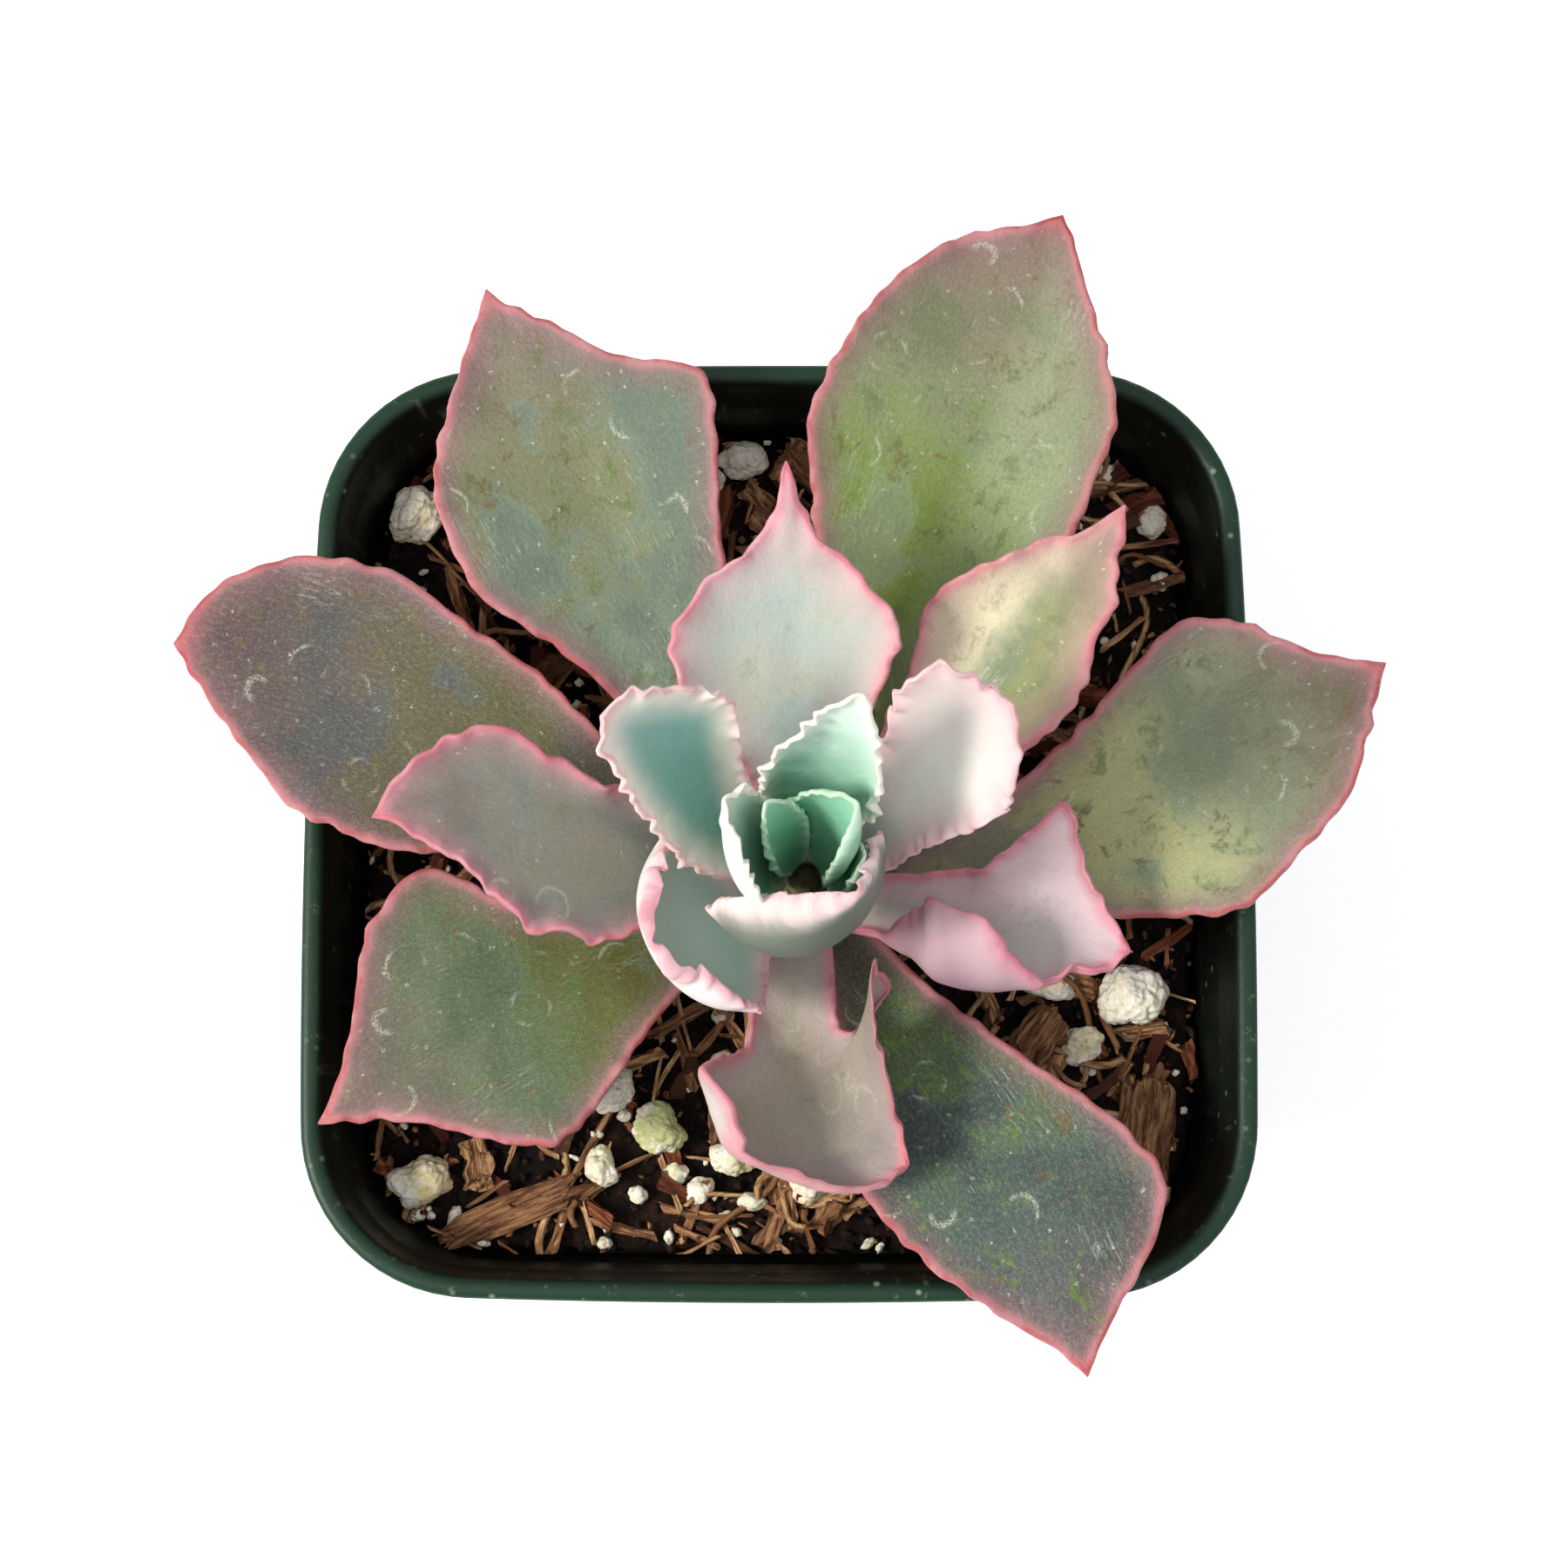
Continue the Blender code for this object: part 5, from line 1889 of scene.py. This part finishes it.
@dataclass
class Chip(Lump):
    """A splintered chunk of bark, its grain along its length."""

    roughness: float = 0.42
    rest_share: float = 0.3
    tint: float = 0.5

    def mesh(self) -> Mesh:
        """Make the chunk: a split block, ridged along the grain and ragged at its ends.

        Returns:
            The chunk's mesh.
        """
        size = np.array((self.shape.length, self.shape.width, self.shape.height)) * MM
        bm = bmesh.new()
        bmesh.ops.create_cube(bm, size=1.0)
        bmesh.ops.bevel(bm, geom=bm.edges[:], offset=0.16, segments=1, affect="EDGES")
        bmesh.ops.triangulate(bm, faces=bm.faces[:])
        for _ in range(CHIP_CUTS):
            bmesh.ops.subdivide_edges(bm, edges=bm.edges[:], cuts=1, use_grid_fill=True)
            if len(bm.faces) > CHIP_FACES:
                break
        place, offset, grain = self.placing(), self.offset, []
        for vert in bm.verts:
            start = vert.co.copy()
            ridge = noise.noise(Vector((start.x * 1.6, start.y * 9, start.z * 9)) + offset)
            split = noise.noise(Vector((start.x * 3, start.y * 24, start.z * 24)) + offset)
            ragged = 0.22 * noise.noise(Vector((0, start.y * 7, start.z * 7)) + offset) * abs(start.x) * 2
            moved = start * self.lumpiness(start)
            moved = Vector((
                moved.x * (1 + ragged), moved.y * (1 + 0.16 * ridge + 0.07 * split),
                moved.z * (1 + 0.2 * ridge + 0.09 * split),
            ))
            grain.append(np.array(moved) * size)
            vert.co = place @ moved
        apart = np.array([[self.shape.x * MM * 9, self.shape.y * MM * 9, 0]])
        return self.settled(bm, {"grain_place": np.array(grain) + apart, "tint": np.full(len(grain), self.tint)})

    def build(self, bark: Material) -> Object:
        """Make, dress and fix the chunk."""
        return mount(new_piece(self.name, self.mesh(), bark), "bark_chips", *self.nodes)


def joined(name: str, meshes: list[Mesh]) -> Mesh:
    """Join meshes that carry the same attributes into one.

    Args:
        name: The joined mesh's name.
        meshes: The meshes, which are used up.

    Returns:
        The joined mesh.
    """
    objects = [linked(f"{name}_{i}", mesh) for i, mesh in enumerate(meshes)]
    with bpy.context.temp_override(active_object=objects[0], selected_editable_objects=objects):
        bpy.ops.object.join()
    mesh = objects[0].data
    bpy.data.objects.remove(objects[0])
    return mesh


class Grain(Enum):
    """Shapes that are strewn over the mix."""

    CRUMB = "crumb"
    SLIVER = "sliver"
    FIBRE = "fibre"


@dataclass
class Litter:
    """Hundreds of small pieces strewn over the mix by one geometry node tree."""

    name: str
    grain: Grain
    count: float
    shortest: float
    longest: float
    thickness: float
    flatness: float
    tilt: float
    lift: float
    seed: int

    def tree(self, material: Material) -> tuple[bpy.types.NodeTree, dict[str, str]]:
        """Build the tree that strews the pieces.

        Args:
            material: What the pieces are made of.

        Returns:
            The tree, and the identifier of each of its named inputs.
        """
        tree = bpy.data.node_groups.new(self.name, "GeometryNodeTree")
        graph = Graph(tree)
        face = tree.interface
        face.new_socket("Geometry", in_out="INPUT", socket_type="NodeSocketGeometry")
        named = {}
        for key in ("Density", "Shortest", "Longest", "Thickness", "Flatness", "Tilt", "Lift"):
            named[key] = face.new_socket(key, in_out="INPUT", socket_type="NodeSocketFloat").identifier
        named["Seed"] = face.new_socket("Seed", in_out="INPUT", socket_type="NodeSocketInt").identifier
        face.new_socket("Geometry", in_out="OUTPUT", socket_type="NodeSocketGeometry")
        given = graph.node("NodeGroupInput").outputs
        seed = given["Seed"]
        strewn = graph.node("GeometryNodeDistributePointsOnFaces", None, {
            "Mesh": given["Geometry"], "Density": given["Density"], "Seed": seed,
        })
        shape = self.primitive(graph)
        size = graph.axes(given["Longest"], given["Thickness"], given["Flatness"])
        place = graph.vector("MULTIPLY", graph.node("GeometryNodeInputPosition").outputs[0], size)
        remember = graph.node(
            "GeometryNodeStoreNamedAttribute", {"data_type": "FLOAT_VECTOR", "domain": "POINT"},
            {"Geometry": shape, "Name": "grain_place", "Value": place},
        )
        length = self.random(graph, seed, 1, given["Shortest"], given["Longest"])
        width = self.random(graph, seed, 2, 0.55, 1.25)
        thickness, flatness, tilt = (Value(graph, given[key]) for key in ("Thickness", "Flatness", "Tilt"))
        scale = graph.axes(length, thickness * width, flatness * width)
        lean = [tilt * self.random(graph, seed, n, -1.0, 1.0) for n in (3, 4)]
        turn = self.random(graph, seed, 5, 0.0, 2 * math.pi)
        rotation = graph.node("FunctionNodeEulerToRotation", None, {0: graph.axes(*lean, turn)})
        placed = graph.node("GeometryNodeInstanceOnPoints", None, {
            "Points": strewn.outputs["Points"], "Instance": remember.outputs[0],
            "Rotation": rotation.outputs[0], "Scale": scale,
        })
        raised = graph.node("GeometryNodeTranslateInstances", None, {
            "Instances": placed.outputs[0], "Translation": graph.axes(z=given["Lift"]), "Local Space": False,
        })
        tinted = graph.node(
            "GeometryNodeStoreNamedAttribute", {"data_type": "FLOAT", "domain": "INSTANCE"},
            {"Geometry": raised.outputs[0], "Name": "tint", "Value": self.random(graph, seed, 6, 0.0, 1.0)},
        )
        real = graph.node("GeometryNodeRealizeInstances", None, {"Geometry": tinted.outputs[0]})
        dressed = graph.node("GeometryNodeSetMaterial", None, {"Geometry": real.outputs[0], "Material": material})
        graph.node("NodeGroupOutput", None, {0: dressed.outputs[0]})
        return tree, named

    def random(self, graph: Graph, seed: Socket, number: int, low: Socket | float, high: Socket | float) -> Value:
        """Give each piece a random number of its own.

        Args:
            graph: The tree under construction.
            seed: The tree's seed.
            number: Which draw this is.
            low, high: The draw's limits.

        Returns:
            The random number.
        """
        mixed = graph.node("ShaderNodeMath", {"operation": "MULTIPLY_ADD"}, {0: seed, 1: SEED_STRIDE, 2: float(number)})
        inputs = {2: low, 3: high, "Seed": mixed.outputs[0]}
        return Value(graph, graph.node("FunctionNodeRandomValue", {"data_type": "FLOAT"}, inputs).outputs[1])

    def primitive(self, graph: Graph) -> Socket:
        """The one shape that is strewn, a metre long along X, with only a few dozen faces.

        Args:
            graph: The tree under construction.

        Returns:
            The shape's geometry.
        """
        if self.grain is Grain.CRUMB:
            ball = graph.node("GeometryNodeMeshIcoSphere", None, {"Radius": 0.5, "Subdivisions": 2})
            return self.roughened(graph, ball.outputs[0], 0.34, 2.4)
        if self.grain is Grain.SLIVER:
            block = graph.node("GeometryNodeMeshCube", None, {
                "Size": (1.0, 1.0, 1.0), "Vertices X": 7, "Vertices Y": 3, "Vertices Z": 2,
            })
            return self.roughened(graph, block.outputs[0], 0.42, 1.7)
        line = graph.node("GeometryNodeCurvePrimitiveBezierSegment", None, {
            "Resolution": 9, "Start": (-0.5, 0.0, 0.0), "Start Handle": (-0.2, 0.35, 0.0),
            "End Handle": (0.2, -0.3, 0.0), "End": (0.5, 0.05, 0.0),
        })
        ring = graph.node("GeometryNodeCurvePrimitiveCircle", None, {"Resolution": 4, "Radius": 0.035})
        tube = graph.node("GeometryNodeCurveToMesh", None, {
            "Curve": line.outputs[0], "Profile Curve": ring.outputs[0], "Fill Caps": True,
        })
        return tube.outputs[0]

    def roughened(self, graph: Graph, shape: Socket, depth: float, scale: float) -> Socket:
        """Move a shape's points by a noise, so that it looks broken and not made.

        Args:
            graph: The tree under construction.
            shape: The shape.
            depth: How far points move.
            scale: The noise's lumps to the metre.

        Returns:
            The broken shape.
        """
        lumps = graph.node("ShaderNodeTexNoise", None, {"Scale": scale, "Detail": 2.0})
        middle = graph.vector("SUBTRACT", lumps.outputs["Color"], (0.5, 0.5, 0.5))
        offset = graph.vector("MULTIPLY", middle, (depth * 2, depth * 3, depth * 3))
        moved = graph.node("GeometryNodeSetPosition", None, {"Geometry": shape, "Offset": offset})
        return moved.outputs[0]

    def build(self, ground: Object, area: float, pot: Pot, material: Material, slot: str) -> None:
        """Strew the pieces, keep them off the wall and fix them to the frame.

        Args:
            ground: The patch that they are strewn on.
            area: Its area in square metres.
            pot: What holds them.
            material: What they are made of.
            slot: The record's material slot.
        """
        carrier = linked(f"{self.name}_carrier", ground.data)
        modifier = carrier.modifiers.new("strewn", "NODES")
        tree, named = self.tree(material)
        modifier.node_group = tree
        sizes = {
            "Density": self.count / area, "Shortest": self.shortest, "Longest": self.longest,
            "Thickness": self.thickness, "Flatness": self.flatness, "Tilt": self.tilt, "Lift": self.lift,
            "Seed": self.seed,
        }
        for key, size in sizes.items():
            modifier[named[key]] = size
        mesh = evaluated_mesh(carrier)
        carrier.modifiers.clear()
        bpy.data.objects.remove(carrier)
        self.keep_inside(mesh, pot)
        mount(new_piece(self.name, mesh, material, smooth=self.grain is not Grain.SLIVER), slot)

    def keep_inside(self, mesh: Mesh, pot: Pot) -> None:
        """Press whatever would pass through the pot's wall back inside it.

        Args:
            mesh: The strewn pieces.
            pot: What holds them.
        """
        points = np.empty(len(mesh.vertices) * 3)
        mesh.vertices.foreach_get("co", points)
        points = points.reshape(-1, 3)
        half, corner = pot.inside(pot.rim - 0.0125, 0.0007)
        reach = half - corner
        past = np.maximum(np.abs(points[:, :2]) - reach, 0)
        far = np.linalg.norm(past, axis=1)
        pull = np.where(far > corner, corner / np.maximum(far, 1e-9), 1.0)
        limited = np.minimum(np.abs(points[:, :2]), reach) + past * pull[:, None]
        points[:, :2] = np.sign(points[:, :2]) * limited
        mesh.vertices.foreach_set("co", points.ravel())
        mesh.update()


@dataclass
class TopDressing:
    """Everything that lies loose on the mix."""

    soil: Soil
    pot: Pot
    perlite: dict[str, tuple[LumpShape, float, float]]
    bark: dict[str, LumpShape]
    crumbs: tuple[tuple[float, float, float], ...]
    patch_inset: float = 0.0007

    def patch(self) -> tuple[Object, float]:
        """A sheet on the mix's surface that litter is strewn on, and its area.

        Returns:
            The sheet and its area in square metres.
        """
        half, corner = self.pot.inside(self.pot.rim - self.soil.drop, self.patch_inset)
        rings = self.soil.surface(half, corner, np.linspace(1.0, 0.03, 40))
        mesh = bpy.data.meshes.new("litter_patch")
        mesh.from_pydata(np.concatenate(rings).tolist(), [], ring_faces(len(rings), len(rings[0])))
        mesh.update()
        return linked("litter_patch", mesh), 4 * half * half

    def build(self) -> None:
        """Lay the nuggets, chips, crumbs and litter."""
        for name, (shape, cream, algae) in self.perlite.items():
            Nugget(f"{name}_crumb", shape, self.soil, (name,), cream=cream, algae=algae).build()
        materials = {name: bark.build(name, pale_share) for name, (bark, pale_share) in BARKS.items()}
        materials["perlite_dust"] = Perlite().build("perlite_dust", 0.6, 0.15)
        for name, shape in self.bark.items():
            Chip(f"{name}_chip", shape, self.soil, (name,)).build(materials["bark_chips"])
        self.small_perlite()
        patch, area = self.patch()
        for finish, slot, litter in LITTER:
            litter.build(patch, area, self.pot, materials[finish], slot)
        bpy.data.objects.remove(patch)

    def small_perlite(self) -> None:
        """Lay the crumbs of perlite between the nuggets as one piece."""
        meshes = []
        for i, (x, y, size) in enumerate(self.crumbs):
            shape = LumpShape(x, y, size, size * (0.75 + 0.2 * math.sin(i * 2.1)), size * 0.8, 37.0 * i)
            meshes.append(Nugget(f"crumb_{i}", shape, self.soil, subdivisions=4).mesh())
        material = Perlite().build("small_perlite_skin", 0.55, 0.25)
        mount(new_piece("small_perlite", joined("small_perlite", meshes), material), "perlite")


BARKS = {  # the finish of each kind of shred, and how much pale wood shows in it
    "bark_chips": (Bark(), 0.9),
    "straw": (Bark(paint(0.80, 0.61, 0.42), paint(0.50, 0.32, 0.20), paint(0.93, 0.80, 0.60)), 0.8),
    "peat_grit": (Bark(paint(0.14, 0.09, 0.065), paint(0.06, 0.04, 0.03), paint(0.30, 0.19, 0.13)), 0.5),
    "russet_bark": (Bark(paint(0.50, 0.25, 0.16), paint(0.26, 0.11, 0.08), paint(0.70, 0.44, 0.29)), 0.7),
}
LITTER = (  # what it is made of, the material slot, and the litter
    ("peat_grit", "potting_mix",
     Litter("mix_grit", Grain.CRUMB, 2300, 0.0005, 0.0019, 0.0010, 0.0008, 3.0, 0.0001, 3)),
    ("bark_chips", "bark_chips",
     Litter("mix_slivers", Grain.SLIVER, 170, 0.0025, 0.009, 0.0011, 0.0007, 0.3, 0.0008, 5)),
    ("bark_chips", "bark_chips",
     Litter("mix_chunks", Grain.SLIVER, 90, 0.0024, 0.0052, 0.0022, 0.0014, 0.6, 0.0006, 21)),
    ("russet_bark", "bark_chips",
     Litter("mix_russet", Grain.SLIVER, 90, 0.0024, 0.0075, 0.0016, 0.001, 0.5, 0.0008, 33)),
    ("straw", "bark_chips",
     Litter("mix_splinters", Grain.SLIVER, 330, 0.0015, 0.006, 0.0005, 0.0004, 0.45, 0.001, 9)),
    ("bark_chips", "bark_chips",
     Litter("mix_flakes", Grain.CRUMB, 800, 0.0004, 0.0014, 0.0008, 0.0004, 3.0, 0.0008, 27)),
    ("straw", "bark_chips",
     Litter("mix_fibres", Grain.FIBRE, 80, 0.005, 0.014, 0.010, 0.006, 0.25, 0.0014, 7)),
    ("perlite_dust", "perlite",
     Litter("mix_perlite", Grain.CRUMB, 200, 0.0004, 0.0014, 0.0009, 0.0008, 3.0, 0.0006, 13)),
)
PERLITE = {  # where it lies, how yellow it is and how green
    "perlite_right_large": (LumpShape(34.3, -15.6, 6.8, 6.2, 5.4, 20), 0.35, 0.05),
    "perlite_right_long": (LumpShape(26.4, -14.2, 5.4, 3.6, 3.4, -12), 0.7, 0.5),
    "perlite_right_low": (LumpShape(29.6, -20.4, 4.2, 3.6, 3.0, 40), 0.8, 0.2),
    "perlite_back_left": (LumpShape(-36.2, 32.6, 6.4, 5.2, 4.6, 60), 0.6, 0.1),
    "perlite_back": (LumpShape(-3.6, 38.4, 5.0, 3.8, 3.4, 10), 0.3, 0.1),
    "perlite_front_left": (LumpShape(-16.2, -24.8, 4.6, 4.0, 3.6, 30), 0.3, 0.1),
    "perlite_front_middle": (LumpShape(-11.7, -28.6, 5.4, 4.4, 3.8, -40), 0.6, 0.75),
    "perlite_front_corner": (LumpShape(-34.4, -33.6, 6.0, 4.6, 4.0, 15), 1.0, 0.05),
    "perlite_front_right": (LumpShape(2.8, -33.2, 4.8, 4.2, 3.6, 75), 0.8, 0.15),
    "perlite_front_small": (LumpShape(-4.4, -31.2, 4.4, 3.8, 3.4, 0), 0.7, 0.4),
}
BARK = {
    "bark_right": LumpShape(35.2, -29.0, 11.0, 4.6, 3.0, 84),
    "bark_right_low": LumpShape(25.0, -19.6, 5.4, 3.8, 3.4, 55),
    "bark_front_left": LumpShape(-25.6, -36.4, 12.2, 2.7, 2.2, 24),
    "bark_left": LumpShape(-37.4, -22.4, 8.0, 4.4, 3.0, 70),
    "bark_back": LumpShape(5.0, 36.0, 9.0, 4.0, 2.8, -50),
    "bark_back_left": LumpShape(-22.0, 36.8, 9.6, 3.6, 2.6, 12),
}
CRUMBS = (  # x, y and length in millimetres
    (-5.4, -21.7, 2.4), (-5.5, -17.5, 2.2), (-31.2, -37.0, 2.4), (-17.1, -32.2, 4.0), (-10.0, -32.6, 2.4),
    (-2.6, -35.4, 3.0), (-7.6, -34.4, 3.2), (37.3, 32.0, 3.4), (-0.4, -28.6, 1.8), (30.0, -22.6, 1.8),
    (38.2, 26.0, 2.0), (-36.4, 24.4, 2.6), (-6.4, 36.4, 2.4), (8.0, -16.6, 2.4), (-28.6, -39.2, 1.8),
    (-34.7, -36.7, 1.6), (36.6, -34.7, 1.8), (-10.6, -38.8, 1.6), (-20.8, -35.6, 1.8), (12.4, -36.8, 1.6),
    (-38.6, 15.0, 2.0), (16.8, -23.6, 1.4), (-24.2, 39.0, 1.8), (20.0, 38.6, 2.2), (33.0, 37.0, 2.6),
    (38.6, 8.4, 1.8), (-38.8, -8.0, 2.0), (-12.8, 38.8, 1.6), (-13.6, -34.8, 1.9), (-5.0, -36.8, 1.7),
    (-15.0, -27.2, 1.5), (1.6, -30.4, 1.5), (-21.6, -28.4, 1.6), (-0.6, -39.3, 1.7), (-16.8, -39.4, 1.5),
    (8.6, -39.4, 1.6), (22.4, -39.2, 1.9), (32.8, -37.9, 1.6),
)


def clear_others() -> None:
    """Remove whatever the scene held that isn't part of the frame."""
    kept = {*frame["nodes"].values(), *frame["bodies"].values()}
    for obj in list(bpy.data.objects):
        if obj not in kept:
            bpy.data.objects.remove(obj, do_unlink=True)


def main() -> None:
    """Build the studio, then the object from the pot up."""
    logging.basicConfig(level=logging.INFO, format="%(message)s")
    clear_others()
    low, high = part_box("pot")
    Studio(high.z).build()
    pot = Pot(low, high)
    pot.build()
    soil = Soil(pot)
    soil.build()
    bottom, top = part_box("stem")
    middle = (bottom + top) / 2
    stem = Stem(pot.rim, (middle.x, middle.y), bottom.z, top.z)
    stem.build()
    Rosette(stem, LEAVES, BLOOMS).build()
    TopDressing(soil, pot, PERLITE, BARK, CRUMBS).build()


if __name__ == "__main__":
    main()
